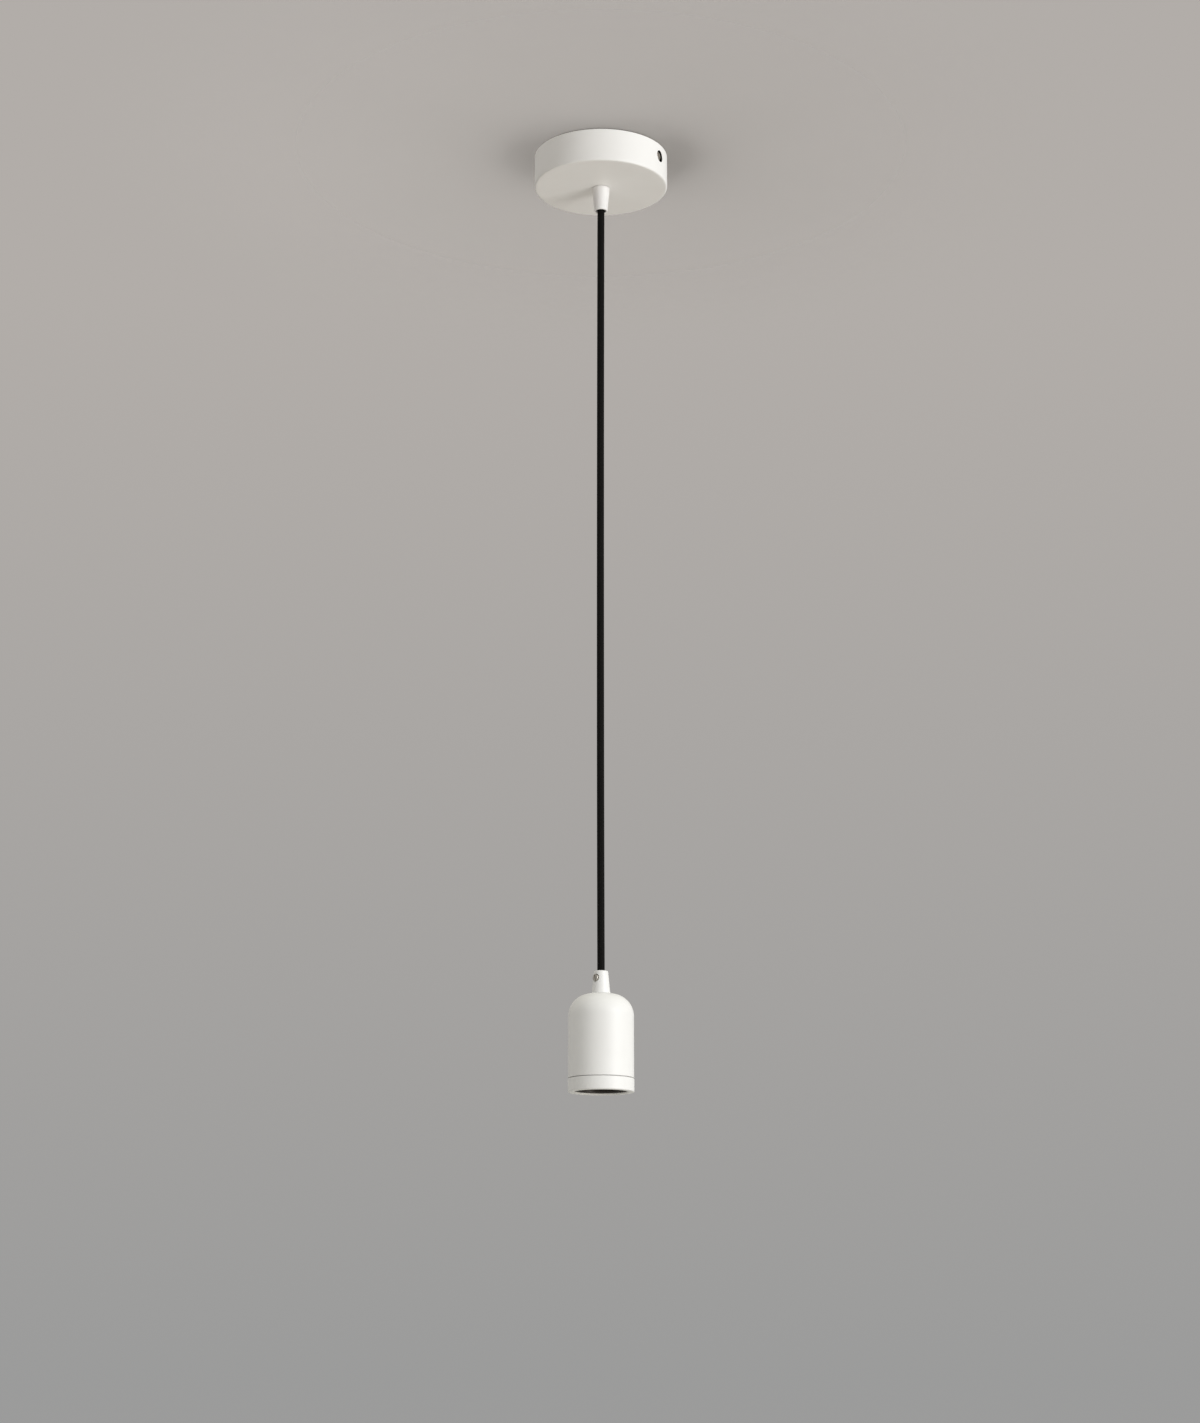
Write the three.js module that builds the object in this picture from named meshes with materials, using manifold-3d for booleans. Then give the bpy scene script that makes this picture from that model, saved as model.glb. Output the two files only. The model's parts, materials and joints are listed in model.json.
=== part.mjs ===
// Pendant cord set: a round ceiling canopy, a textile cord and a metal E27 lamp holder.
// Millimetres, +Z up. The origin is the centre of the canopy in the ceiling plane, and the set
// hangs down from there. +X runs along the ceiling strap, through the two side screws.
import * as THREE from 'three';
import { mergeVertices } from 'three/addons/utils/BufferGeometryUtils.js';
import Module from 'manifold-3d';

const wasm = await Module();
wasm.setup();

// Play between pieces
const seat = 0.3; // between two pieces that touch or screw together
const cordPlay = 1.05; // between the cord and the bores it runs through
const corePlay = 0.35; // between a core and the terminal or lug that holds it

// Cord
const cordDiameter = 5.3;
const cordDrop = 576.3; // what shows between the two cord grips
const jacketProud = 1.5; // how far the jacket runs past the end of a threaded tube
const coreDiameter = 1.9;
const coreSpread = 1.3; // radius of the circle on which the three cores leave the jacket
const ceilingCoreBend = 6; // how wide the cores swing in the canopy
const liveCoreBend = 7; // and in the holder, each on its own way
const neutralCoreBend = 8;
const earthCoreBend = 3.5;

// Threaded tube with its lock nut and toothed washer, alike at both ends
const tubeDiameter = 10;
const tubeProud = 1; // tube that shows past the nut
const nutWall = 2; // from the thread to a flat of the nut
const nutThickness = 3;
const washerWidth = 2.7;
const washerThickness = 0.8;
const washerTeeth = 10;
const washerToothDepth = 1;

// Cord grips: one shape, longer at the canopy
const gripThreadDepth = 6;
const canopyGripWeb = 4.2; // between the thread and the set screw's hole
const holderGripWeb = 2;
const gripTipLand = 2.4; // between the set screw's hole and the tip
const gripFootWall = 1.3;
const gripFootHeight = 1.2;
const gripFootStep = 0.15;
const gripTipWall = 1.3;
const gripTipRounding = 0.8;
const gripMouthRounding = 0.4;
const gripScrewDiameter = 5;
const gripScrewProud = 0.5;

// Canopy
const canopyDiameter = 100;
const canopyHeight = 25;
const canopyWall = 1;
const canopyInnerRounding = 0.3; // inside radius of the pressed bottom edge
const sideHoleDrop = 9.4; // ceiling to the centre of a side hole
const sideHolePlay = 0.75; // around the side screw's head

// Side screws and the strap that carries them
const sideScrewDiameter = 5;
const sideScrewHeadDiameter = 7.4;
const sideScrewHeadLength = 3.4;
const sideScrewHeadRecess = 0.9; // head face inside the canopy's wall face
const sideScrewThreadShown = 2; // between the head and the ear
const sideScrewThreadPast = 4; // beyond the ear
const strapWidth = 16;
const strapThickness = 1.5;
const strapBend = 1;
const earMargin = 5.5; // ear below the side screw's axis
const slotWidth = 5;
const slotLength = 13;
const slotInset = 4; // from the ear's outer face to the slot

// Two-pole terminal block under the strap
const poleSpacing = 13;
const poleTubeWall = 1.3;
const poleTubeRecess = 1;
const blockLength = 17;
const blockWall = 1.1;
const blockTowerHeight = 4;
const blockTowerInset = 1.5;
const blockMargin = 0.5; // from the toothed washer to the block
const clampScrewDiameter = 2.4;
const clampScrewSpacing = 8.4;
const clampScrewRecess = 0.6;
const blockScrewCounterbore = 8;

// Small slotted screws and earth lugs
const smallScrewDiameter = 3;
const smallScrewHeadDiameter = 5.4;
const smallScrewHeadLength = 1.8;
const earthScrewDiameter = 4;
const earthScrewHeadDiameter = 7.2;
const earthScrewHeadLength = 2.4;
const earthScrewMargin = 5; // from the toothed washer's edge to the ceiling earth screw
const lugThickness = 0.8;
const lugRingWidth = 1.7;
const lugBarrelWall = 0.45;
const lugBarrelLength = 4.5;
const lugNeck = 0.3; // flat between the screw's head and the barrel
const slotRatio = 0.15; // slot width over a screw's diameter
const slotDepthRatio = 0.36; // slot depth over a screw's radius
const screwEdgeRatio = 0.12; // broken edge over a screw's radius

// Holder shell and its screwed ring
const shellDiameter = 46.2;
const shellWall = 1.6;
const shellHeight = 58.8;
const domeLand = 0.9; // flat of the dome around the cord grip's foot
const ringGap = 0.5; // the line between shell and ring
const ringHeight = 9.3;
const ringProud = 0.2;
const ringEdgeRounding = 0.8;
const ringBevel = 0.35;
const ringLip = 1.1;
const ringLipCover = 1.2; // how far the lip reaches under the socket
const ringLipBevelHeight = 0.9;
const ringLipBevelWidth = 0.5;
const ringNeckWall = 0.9;
const ringNeckHeight = 6.5;

// Socket body inside the holder
const socketRimHeight = 8;
const socketRimStep = 1.5;
const socketFlatStep = 1.5; // depth of the two flats for the yoke's legs
const socketMouthWall = 2.2;
const socketMouthDepth = 5;
const socketMouthRounding = 0.6;
const socketFloor = 11; // solid web between the bore and the terminals
const shellSetback = 2; // screw shell's lip above the mouth's step

// E27 screw shell, rolled from thin sheet
const threadPitch = 25.4 / 7;
const threadTurns = 4;
const threadInnerDiameter = 24.6; // over the crests inside
const threadDepth = 1;
const sheetThickness = 0.5;
const threadLead = 1.9; // plain wall at each end of the thread
const flangeHoleDiameter = 16;

// Contact, rivets and terminals of the socket
const contactWidth = 5;
const contactThickness = 0.6;
const contactDrop = 3.2; // how far the spring reaches below the floor
const contactTongue = 4;
const contactEdge = 0.8; // sheet beyond the rivet's hole
const rivetDiameter = 2.4;
const rivetHeadDiameter = 4;
const rivetHeadHeight = 0.9;
const terminalWidth = 7;
const terminalLength = 7;
const terminalHeight = 6.5;
const terminalFoot = 1.2;
const terminalFootReach = 4.5; // from the rivet to the block
const terminalFootTail = 3; // foot beyond the rivet
const terminalBoreHeight = 3.9;
const terminalScrewProud = 1.4;
const terminalCoreReach = 5.6; // core inside a terminal

// Yoke that hangs the socket from the threaded tube
const yokeWebMargin = 2.2; // yoke beside its centre hole
const yokeThickness = 1;
const yokeBend = 0.8;
const yokeTopMargin = 0.45; // flat web past the nut's corners
const yokeShoulderDrop = 8.8;
const yokeLegMargin = 3.6; // leg below its screw
const yokeScrewDrop = 5.5; // socket top to the yoke screw
const yokeScrewDepth = 6; // thread in the socket body
const yokeEarthDrop = 9; // shoulder to the earth screw
const yokeEarthProud = 1.5;

// Directions around the vertical axis, counted from +X
const canopyGripScrewAngle = THREE.MathUtils.degToRad(116);
const holderGripScrewAngle = THREE.MathUtils.degToRad(-107);
const gripSlotTurn = THREE.MathUtils.degToRad(14);
const coreAngles = [0, 1, 2].map((turn) => (turn * 2 * Math.PI) / 3);

// Facets round each kind of turned piece
const canopySides = 48;
const shellSides = 40;
const socketSides = 28;
const threadSides = 26;
const fittingSides = 20;
const screwSides = 12;
const smallSides = 8;
const cordSides = 8;
const coreSides = 6;

// Steps along curves
const cornerSteps = 3;
const smallCornerSteps = 2;
const domeSteps = 6;
const domeInnerSteps = 4;
const slotEndSteps = 2;
const cordSteps = 36;
const coreSteps = 10;
const rowsPerPitch = 5; // rows of points along each pitch of the thread

// Helpers of the cuts and meshes
const overshoot = 1; // how far a cutting tool runs past the face it opens
const mergeTolerance = 1e-4;

// Sizes that follow from the ones above
const cordRadius = cordDiameter / 2;
const coreRadius = coreDiameter / 2;
const tubeRadius = tubeDiameter / 2;
const tubeBoreRadius = cordRadius + cordPlay;
const nutAcrossFlats = tubeDiameter + 2 * nutWall;
const nutCornerRadius = nutAcrossFlats / 2 / Math.cos(Math.PI / 6);
const washerRadius = tubeRadius + seat + washerWidth;
const gripScrewHoleRadius = gripScrewDiameter / 2 + seat;
const gripCrown = 2 * gripScrewHoleRadius + gripTipLand; // from the set screw's hole to the tip
const canopyGripLength = gripThreadDepth + canopyGripWeb + gripCrown;
const holderGripLength = gripThreadDepth + holderGripWeb + gripCrown;
const gripTipRadius = tubeBoreRadius + gripTipWall;
const gripFootRadius = tubeRadius + seat + gripFootWall;
const canopyRadius = canopyDiameter / 2;
const canopyFloor = -canopyHeight + canopyWall;
const shellRadius = shellDiameter / 2;
const shellBore = shellRadius - shellWall;
const domeFlatRadius = gripFootRadius + domeLand;
const domeRounding = shellRadius - domeFlatRadius;
const shellTop = -(canopyHeight + seat + canopyGripLength + cordDrop + holderGripLength + seat);
const tubeTail = gripThreadDepth - seat; // tube inside the cord grip, past its foot
const nutReach = seat + nutThickness + tubeProud; // from what the nut clamps to the tube's end
const poleBoreRadius = coreRadius + corePlay;
const poleTubeRadius = poleBoreRadius + poleTubeWall;
const blockTop = -strapThickness - seat;
const poleHeight = blockTop - blockWall - seat - poleTubeRadius;
const blockShoulder = poleHeight - poleTubeRadius - seat - blockWall;
const blockBottom = blockShoulder - blockTowerHeight;
const blockNear = -(washerRadius + blockMargin);
const blockCentre = blockNear - blockLength / 2;
const sideScrewDrop = sideHoleDrop - (sideHolePlay - seat);
const sideHeadFace = canopyRadius - sideScrewHeadRecess;
const sideHeadBack = sideHeadFace - sideScrewHeadLength;
const earFace = sideHeadBack - sideScrewThreadShown;
const ringNeckRadius = shellBore - seat;
const ringBoreRadius = ringNeckRadius - ringNeckWall;
const socketRimRadius = ringBoreRadius - seat;
const ringMouthRadius = socketRimRadius - ringLipCover;
const socketRadius = socketRimRadius - socketRimStep;
const socketFlat = socketRadius - socketFlatStep;
const socketMouthRadius = socketRimRadius - socketMouthWall;
const threadMean = threadInnerDiameter / 2 + threadDepth / 2;
const screwShellHeight = threadTurns * threadPitch + 2 * threadLead;
const socketBoreRadius = threadMean + threadDepth / 2 + sheetThickness + seat;
const socketBottom = shellTop - shellHeight - ringGap - ringHeight + ringLip + seat;
const socketFloorHeight = socketBottom + socketMouthDepth + shellSetback + screwShellHeight + seat;
const socketTop = socketFloorHeight + socketFloor;
const flangeHoleRadius = flangeHoleDiameter / 2;
const shellRivetX = -(flangeHoleRadius + threadInnerDiameter / 2) / 2;
const contactRoom = flangeHoleRadius * Math.cos(Math.PI / threadSides) - seat;
const contactEnd = Math.sqrt(contactRoom ** 2 - (contactWidth / 2) ** 2);
const contactRivetX = contactEnd - contactEdge - seat - rivetDiameter / 2;
const terminalBase = socketTop + seat;
const terminalBoreCentre = terminalBase + terminalBoreHeight;
const yokeLeg = socketFlat + seat; // inner face of a leg
const yokeTop = shellTop - shellWall - seat - washerThickness - seat;
const yokeTopHalf = nutCornerRadius + yokeTopMargin;
const yokeWidth = 2 * (tubeRadius + seat + yokeWebMargin);
const yokeShoulder = yokeTop - yokeShoulderDrop;
const yokeScrewHeight = socketTop - yokeScrewDrop;
const yokeEarthHeight = yokeShoulder - yokeEarthDrop;
const holderTubeEnd = yokeTop - yokeThickness - nutReach;
const canopyTubeEnd = canopyFloor + seat + washerThickness + nutReach;
const lugBarrelRadius = coreRadius + corePlay + lugBarrelWall;
const lugRingRadius = earthScrewDiameter / 2 + seat + lugRingWidth;
const lugBarrelStart = Math.max(earthScrewHeadDiameter / 2 + seat, lugRingRadius) + lugNeck;
const lugBarrelEnd = lugBarrelStart + lugBarrelLength;
const cordTop = canopyTubeEnd + jacketProud;
const cordBottom = holderTubeEnd - jacketProud;

// The cord's route: sideways drift in x and y, and the share of its length from top to bottom
const cordRoute = [
  [0, 0, 0],
  [0, 0, 0.025],
  [0, 0, 0.05],
  [-0.04, -0.02, 0.08],
  [-0.1, -0.05, 0.13],
  [-0.18, -0.09, 0.19],
  [-0.25, -0.12, 0.26],
  [-0.3, -0.14, 0.34],
  [-0.33, -0.16, 0.42],
  [-0.35, -0.17, 0.5],
  [-0.34, -0.17, 0.58],
  [-0.32, -0.15, 0.66],
  [-0.27, -0.13, 0.74],
  [-0.2, -0.1, 0.81],
  [-0.12, -0.06, 0.87],
  [-0.05, -0.02, 0.92],
  [0, 0, 0.95],
  [0, 0, 0.975],
  [0, 0, 1],
];

// Finishes
const whiteCoat = { color: 0xf1f0ec, roughness: 0.5, metalness: 0 };
const zincSteel = { color: 0xb4b6b5, roughness: 0.35, metalness: 1 };
const nickelSteel = { color: 0xc9c7c0, roughness: 0.3, metalness: 1 };
const brass = { color: 0xc8a45a, roughness: 0.35, metalness: 1 };
const darkPhenolic = { color: 0x1d1713, roughness: 0.4, metalness: 0 };
const whitePlastic = { color: 0xe6e3da, roughness: 0.5, metalness: 0 };
const blackTextile = { color: 0x12100e, roughness: 0.95, metalness: 0 };
const brownCore = { color: 0x5b3a24, roughness: 0.5, metalness: 0 };
const blueCore = { color: 0x2a5f9e, roughness: 0.5, metalness: 0 };
const earthCore = { color: 0x7d9a2b, roughness: 0.5, metalness: 0 };

// Shapes and solids

// A closed mesh as a solid, with equal corners merged and slivers on the axis dropped.
function toSolid(geometry) {
  const bare = geometry.clone();
  bare.deleteAttribute('normal');
  bare.deleteAttribute('uv');
  const merged = mergeVertices(bare, mergeTolerance);
  const corners = merged.index.array;
  const triVerts = [];
  for (let i = 0; i < corners.length; i += 3) {
    const [a, b, c] = corners.slice(i, i + 3);
    if (a !== b && b !== c && c !== a) triVerts.push(a, b, c);
  }
  return new wasm.Manifold(
    new wasm.Mesh({
      numProp: 3,
      vertProperties: new Float32Array(merged.attributes.position.array),
      triVerts: new Uint32Array(triVerts),
    }),
  );
}

function toGeometry(solid) {
  const mesh = solid.getMesh();
  const geometry = new THREE.BufferGeometry();
  geometry.setAttribute('position', new THREE.BufferAttribute(mesh.vertProperties, 3));
  geometry.setIndex(new THREE.BufferAttribute(mesh.triVerts, 1));
  geometry.computeVertexNormals();
  return geometry;
}

function cut(geometry, tools) {
  const solid = tools.reduce((left, tool) => left.subtract(toSolid(tool)), toSolid(geometry));
  return toGeometry(solid);
}

function join(geometry, extras) {
  const solid = extras.reduce((whole, extra) => whole.add(toSolid(extra)), toSolid(geometry));
  return toGeometry(solid);
}

// An outline with rounded corners. Each corner is [x, y] or [x, y, radius, steps].
function roundedOutline(corners) {
  const points = [];
  corners.forEach(([x, y, radius = 0, steps = cornerSteps], i) => {
    const corner = new THREE.Vector2(x, y);
    if (radius === 0) {
      points.push(corner);
      return;
    }
    const last = new THREE.Vector2(...corners.at(i - 1)).sub(corner).normalize();
    const next = new THREE.Vector2(...corners[(i + 1) % corners.length]).sub(corner).normalize();
    const half = Math.acos(last.dot(next)) / 2;
    const reach = radius / Math.tan(half);
    const middle = last.clone().add(next).normalize();
    const centre = corner.clone().addScaledVector(middle, radius / Math.sin(half));
    const start = corner.clone().addScaledVector(last, reach).sub(centre);
    const turn = Math.PI - 2 * half;
    const sweep = last.cross(next) > 0 ? -turn : turn;
    for (let k = 0; k <= steps; k++) {
      points.push(start.clone().rotateAround(new THREE.Vector2(), (sweep * k) / steps).add(centre));
    }
  });
  return points;
}

// A piece turned round Z from an outline of [radius, height] corners. One that meets the axis
// starts and ends on it.
function turned(corners, sides) {
  const outline = roundedOutline(corners);
  if (THREE.ShapeUtils.isClockWise(outline)) outline.reverse();
  const onAxis = outline.filter((point) => point.x === 0).length > 0;
  while (onAxis && (outline[0].x !== 0 || outline.at(-1).x !== 0)) outline.push(outline.shift());
  if (!onAxis) outline.push(outline[0].clone());
  const geometry = new THREE.LatheGeometry(outline, sides);
  geometry.rotateX(Math.PI / 2);
  return geometry;
}

function circle(radius, sides) {
  return Array.from({ length: sides }, (_, i) => {
    const angle = (2 * Math.PI * i) / sides;
    return new THREE.Vector2(radius * Math.cos(angle), radius * Math.sin(angle));
  });
}

// A flat outline with holes, thickened upwards from z = 0.
function plate(outline, thickness, holes = []) {
  const shape = new THREE.Shape(outline);
  shape.holes = holes.map((hole) => new THREE.Path(hole));
  return new THREE.ExtrudeGeometry(shape, { depth: thickness, bevelEnabled: false });
}

// A sheet strip bent along a line of [u, z] corners, its thickness on the left of the line,
// its width centred on the u-z plane. u is X.
function bentStrip(line, thickness, width, bend) {
  const points = line.map(([u, z]) => new THREE.Vector2(u, z));
  const sideways = (from, to) => {
    const along = to.clone().sub(from).normalize();
    return new THREE.Vector2(-along.y, along.x);
  };
  const near = [];
  const far = [];
  points.forEach((point, i) => {
    const before = i > 0 ? sideways(points[i - 1], point) : sideways(point, points[1]);
    const after = i < points.length - 1 ? sideways(point, points[i + 1]) : before;
    const mitre = before.clone().add(after).multiplyScalar(thickness / (1 + before.dot(after)));
    const offset = point.clone().add(mitre);
    const turn = before.cross(after);
    const nearRadius = turn === 0 ? 0 : bend + (turn > 0 ? thickness : 0);
    const farRadius = turn === 0 ? 0 : bend + (turn > 0 ? 0 : thickness);
    near.push([point.x, point.y, nearRadius]);
    far.unshift([offset.x, offset.y, farRadius]);
  });
  const geometry = plate(roundedOutline([...near, ...far]), width);
  geometry.translate(0, 0, -width / 2);
  geometry.rotateX(Math.PI / 2);
  return geometry;
}

// A round bar from one point to another.
function rod(radius, from, to, sides) {
  const start = new THREE.Vector3(...from);
  const end = new THREE.Vector3(...to);
  const axis = end.clone().sub(start);
  const geometry = new THREE.CylinderGeometry(radius, radius, axis.length(), sides);
  const lean = new THREE.Quaternion().setFromUnitVectors(new THREE.Vector3(0, 1, 0), axis.normalize());
  geometry.applyQuaternion(lean);
  const middle = start.add(end).multiplyScalar(0.5);
  geometry.translate(middle.x, middle.y, middle.z);
  return geometry;
}

function block(low, high) {
  const size = high.map((value, i) => value - low[i]);
  const geometry = new THREE.BoxGeometry(...size);
  geometry.translate(...low.map((value, i) => value + size[i] / 2));
  return geometry;
}

// A slot across the head of a screw whose head ends at the given height.
function cutSlot(body, headRadius, height) {
  const reach = headRadius + overshoot;
  const half = headRadius * slotRatio;
  const depth = headRadius * slotDepthRatio;
  return cut(body, [block([-reach, -half, height - depth], [reach, half, height + depth])]);
}

// A slotted screw along Z: head above z = 0, shank below.
function slottedScrew(shankRadius, headRadius, headLength, shankLength, sides) {
  const edge = headRadius * screwEdgeRatio;
  const body = turned(
    [
      [0, headLength],
      [headRadius - edge, headLength],
      [headRadius, headLength - edge],
      [headRadius, 0],
      [shankRadius, 0],
      [shankRadius, -shankLength],
      [0, -shankLength],
    ],
    sides,
  );
  return cutSlot(body, headRadius, headLength);
}

// A set screw along Z from z = 0: all one diameter, slotted at its upper end.
function setScrew(radius, length, sides) {
  const edge = radius * screwEdgeRatio;
  const body = turned(
    [
      [0, length],
      [radius - edge, length],
      [radius, length - edge],
      [radius, edge],
      [radius - edge, 0],
      [0, 0],
    ],
    sides,
  );
  return cutSlot(body, radius, length);
}

// A round section drawn along a curve.
function drawn(curve, radius, sides, steps) {
  const section = new THREE.Shape(circle(radius, sides));
  return new THREE.ExtrudeGeometry(section, { steps, extrudePath: curve, bevelEnabled: false });
}

// Ceiling side

function canopyCup() {
  const hole = tubeRadius + seat;
  const cup = turned(
    [
      [hole, -canopyHeight],
      [canopyRadius, -canopyHeight, canopyInnerRounding + canopyWall],
      [canopyRadius, 0],
      [canopyRadius - canopyWall, 0],
      [canopyRadius - canopyWall, canopyFloor, canopyInnerRounding, smallCornerSteps],
      [hole, canopyFloor],
    ],
    canopySides,
  );
  const holeRadius = sideScrewHeadDiameter / 2 + sideHolePlay;
  const across = [-canopyRadius - overshoot, canopyRadius + overshoot].map((x) => [x, 0, -sideHoleDrop]);
  return cut(cup, [rod(holeRadius, ...across, fittingSides)]);
}

function slotOutline(from, to) {
  const radius = slotWidth / 2;
  const slot = new THREE.Path();
  slot.absarc(to - radius, 0, radius, -Math.PI / 2, Math.PI / 2);
  slot.absarc(from + radius, 0, radius, Math.PI / 2, 1.5 * Math.PI);
  return slot.getPoints(slotEndSteps);
}

function ceilingStrap() {
  const earEnd = -(sideScrewDrop + earMargin);
  const line = [
    [earFace, earEnd],
    [earFace, 0],
    [-earFace, 0],
    [-earFace, earEnd],
  ];
  const strap = bentStrip(line, strapThickness, strapWidth, strapBend);
  const slotEnd = earFace - slotInset;
  const tools = [1, -1].flatMap((side) => {
    const ends = [side * (slotEnd - slotLength), side * slotEnd].sort((a, b) => a - b);
    const slot = plate(slotOutline(...ends), strapThickness + 2 * overshoot);
    slot.translate(0, 0, -strapThickness - overshoot);
    const earSpan = [earFace - strapThickness - overshoot, earFace + overshoot];
    const across = earSpan.map((x) => [side * x, 0, -sideScrewDrop]);
    return [slot, rod(sideScrewDiameter / 2 + seat, ...across, screwSides)];
  });
  const through = (x, radius) => {
    const ends = [-strapThickness - overshoot, overshoot].map((z) => [x, 0, z]);
    return rod(radius + seat, ...ends, screwSides);
  };
  tools.push(through(blockCentre, smallScrewDiameter / 2));
  tools.push(through(washerRadius + earthScrewMargin, earthScrewDiameter / 2));
  return cut(strap, tools);
}

function terminalBlock() {
  const halfLength = blockLength / 2;
  const halfWidth = poleSpacing / 2 + poleTubeRadius + seat + blockWall;
  const tower = halfLength - blockTowerInset;
  const outline = [
    [-halfLength, blockTop],
    [-halfLength, blockShoulder],
    [-tower, blockShoulder],
    [-tower, blockBottom],
    [tower, blockBottom],
    [tower, blockShoulder],
    [halfLength, blockShoulder],
    [halfLength, blockTop],
  ];
  const body = plate(roundedOutline(outline), 2 * halfWidth);
  body.translate(0, 0, -halfWidth);
  body.rotateX(Math.PI / 2);
  const wellRadius = clampScrewDiameter / 2 + 2 * seat;
  const tools = [1, -1].flatMap((side) => {
    const y = (side * poleSpacing) / 2;
    const ends = [-1, 1].map((end) => [end * (halfLength + overshoot), y, poleHeight]);
    const tunnel = rod(poleTubeRadius + seat, ...ends, screwSides);
    const wells = [1, -1].map((end) => {
      const x = (end * clampScrewSpacing) / 2;
      return rod(wellRadius, [x, y, blockBottom - overshoot], [x, y, poleHeight], smallSides);
    });
    return [tunnel, ...wells];
  });
  const entry = [0, 0, blockBottom - overshoot];
  const counterbore = smallScrewHeadDiameter / 2 + seat;
  tools.push(rod(smallScrewDiameter / 2 + seat, entry, [0, 0, blockTop + overshoot], smallSides));
  tools.push(rod(counterbore, entry, [0, 0, blockBottom + blockScrewCounterbore], screwSides));
  return cut(body, tools);
}

// The brass tube of one pole, with its two screw holes below.
function poleTube() {
  const half = blockLength / 2 - poleTubeRecess;
  const tube = plate(circle(poleTubeRadius, screwSides), 2 * half, [circle(poleBoreRadius, smallSides)]);
  tube.translate(0, 0, -half);
  tube.rotateY(Math.PI / 2);
  const holes = [1, -1].map((end) => {
    const x = (end * clampScrewSpacing) / 2;
    return rod(clampScrewDiameter / 2 + seat, [x, 0, -poleTubeRadius - overshoot], [x, 0, 0], smallSides);
  });
  return cut(tube, holes);
}

// A crimped ring lug: the ring lies on z = 0, its barrel runs along +Y.
function earthLug() {
  const hole = circle(earthScrewDiameter / 2 + seat, screwSides);
  const ring = plate(circle(lugRingRadius, screwSides), lugThickness, [hole]);
  const neckLow = [-poleBoreRadius, lugRingRadius - lugRingWidth / 2, 0];
  const neck = block(neckLow, [-neckLow[0], lugBarrelStart + lugThickness, lugThickness]);
  const barrelAxis = (y) => [0, y, lugBarrelRadius];
  const barrel = rod(lugBarrelRadius, barrelAxis(lugBarrelStart), barrelAxis(lugBarrelEnd), smallSides);
  const bore = rod(
    poleBoreRadius,
    barrelAxis(lugBarrelStart + lugThickness),
    barrelAxis(lugBarrelEnd + overshoot),
    smallSides,
  );
  return cut(join(ring, [neck, barrel]), [bore]);
}

// Fittings that both ends share

function threadedTube(length) {
  return plate(circle(tubeRadius, fittingSides), length, [circle(tubeBoreRadius, screwSides)]);
}

function lockNut() {
  return plate(circle(nutCornerRadius, 6), nutThickness, [circle(tubeRadius + seat, fittingSides)]);
}

function toothedWasher() {
  const outline = [];
  for (let tooth = 0; tooth < washerTeeth; tooth++) {
    const root = washerRadius - washerToothDepth;
    [washerRadius, washerRadius, root, root].forEach((radius, quarter) => {
      const angle = (2 * Math.PI * (tooth + quarter / 4)) / washerTeeth;
      outline.push(new THREE.Vector2(radius * Math.cos(angle), radius * Math.sin(angle)));
    });
  }
  return plate(outline, washerThickness, [circle(tubeRadius + seat, fittingSides)]);
}

// Height of the set screw above the foot of a cord grip.
function gripScrewHeight(length) {
  return length - gripTipLand - gripScrewHoleRadius;
}

// A cord grip: foot on z = 0, tip up, with its threaded socket, bore and set screw hole on +X.
function cordGrip(length) {
  const grip = turned(
    [
      [tubeRadius + seat, 0],
      [gripFootRadius, 0],
      [gripFootRadius, gripFootHeight],
      [gripFootRadius - gripFootStep, gripFootHeight + gripFootStep],
      [gripTipRadius, length, gripTipRounding],
      [tubeBoreRadius, length, gripMouthRounding, smallCornerSteps],
      [tubeBoreRadius, gripThreadDepth],
      [tubeRadius + seat, gripThreadDepth],
    ],
    fittingSides,
  );
  const across = [0, gripFootRadius + overshoot].map((x) => [x, 0, gripScrewHeight(length)]);
  return cut(grip, [rod(gripScrewHoleRadius, ...across, screwSides)]);
}

// Outside radius of a cord grip at the height of its set screw.
function gripRadiusAtScrew(length) {
  const coneFoot = gripFootHeight + gripFootStep;
  const share = (gripScrewHeight(length) - coneFoot) / (length - coneFoot);
  return THREE.MathUtils.lerp(gripFootRadius - gripFootStep, gripTipRadius, share);
}

// Lamp side

function holderShell() {
  const hole = tubeRadius + seat;
  return turned(
    [
      [hole, 0],
      [shellRadius, 0, domeRounding, domeSteps],
      [shellRadius, -shellHeight],
      [shellBore, -shellHeight],
      [shellBore, -shellWall, domeRounding - shellWall, domeInnerSteps],
      [hole, -shellWall],
    ],
    shellSides,
  );
}

// The ring screws into the shell with its neck and carries the socket on its lip.
function holderRing() {
  const outside = shellRadius + ringProud;
  return turned(
    [
      [ringMouthRadius, ringLip],
      [ringMouthRadius, ringLipBevelHeight],
      [ringMouthRadius + ringLipBevelWidth, 0],
      [outside, 0, ringEdgeRounding],
      [outside, ringHeight - ringBevel],
      [outside - ringBevel, ringHeight],
      [ringNeckRadius, ringHeight],
      [ringNeckRadius, ringHeight + ringNeckHeight],
      [ringBoreRadius, ringHeight + ringNeckHeight],
      [ringBoreRadius, ringLip],
    ],
    shellSides,
  );
}

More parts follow.
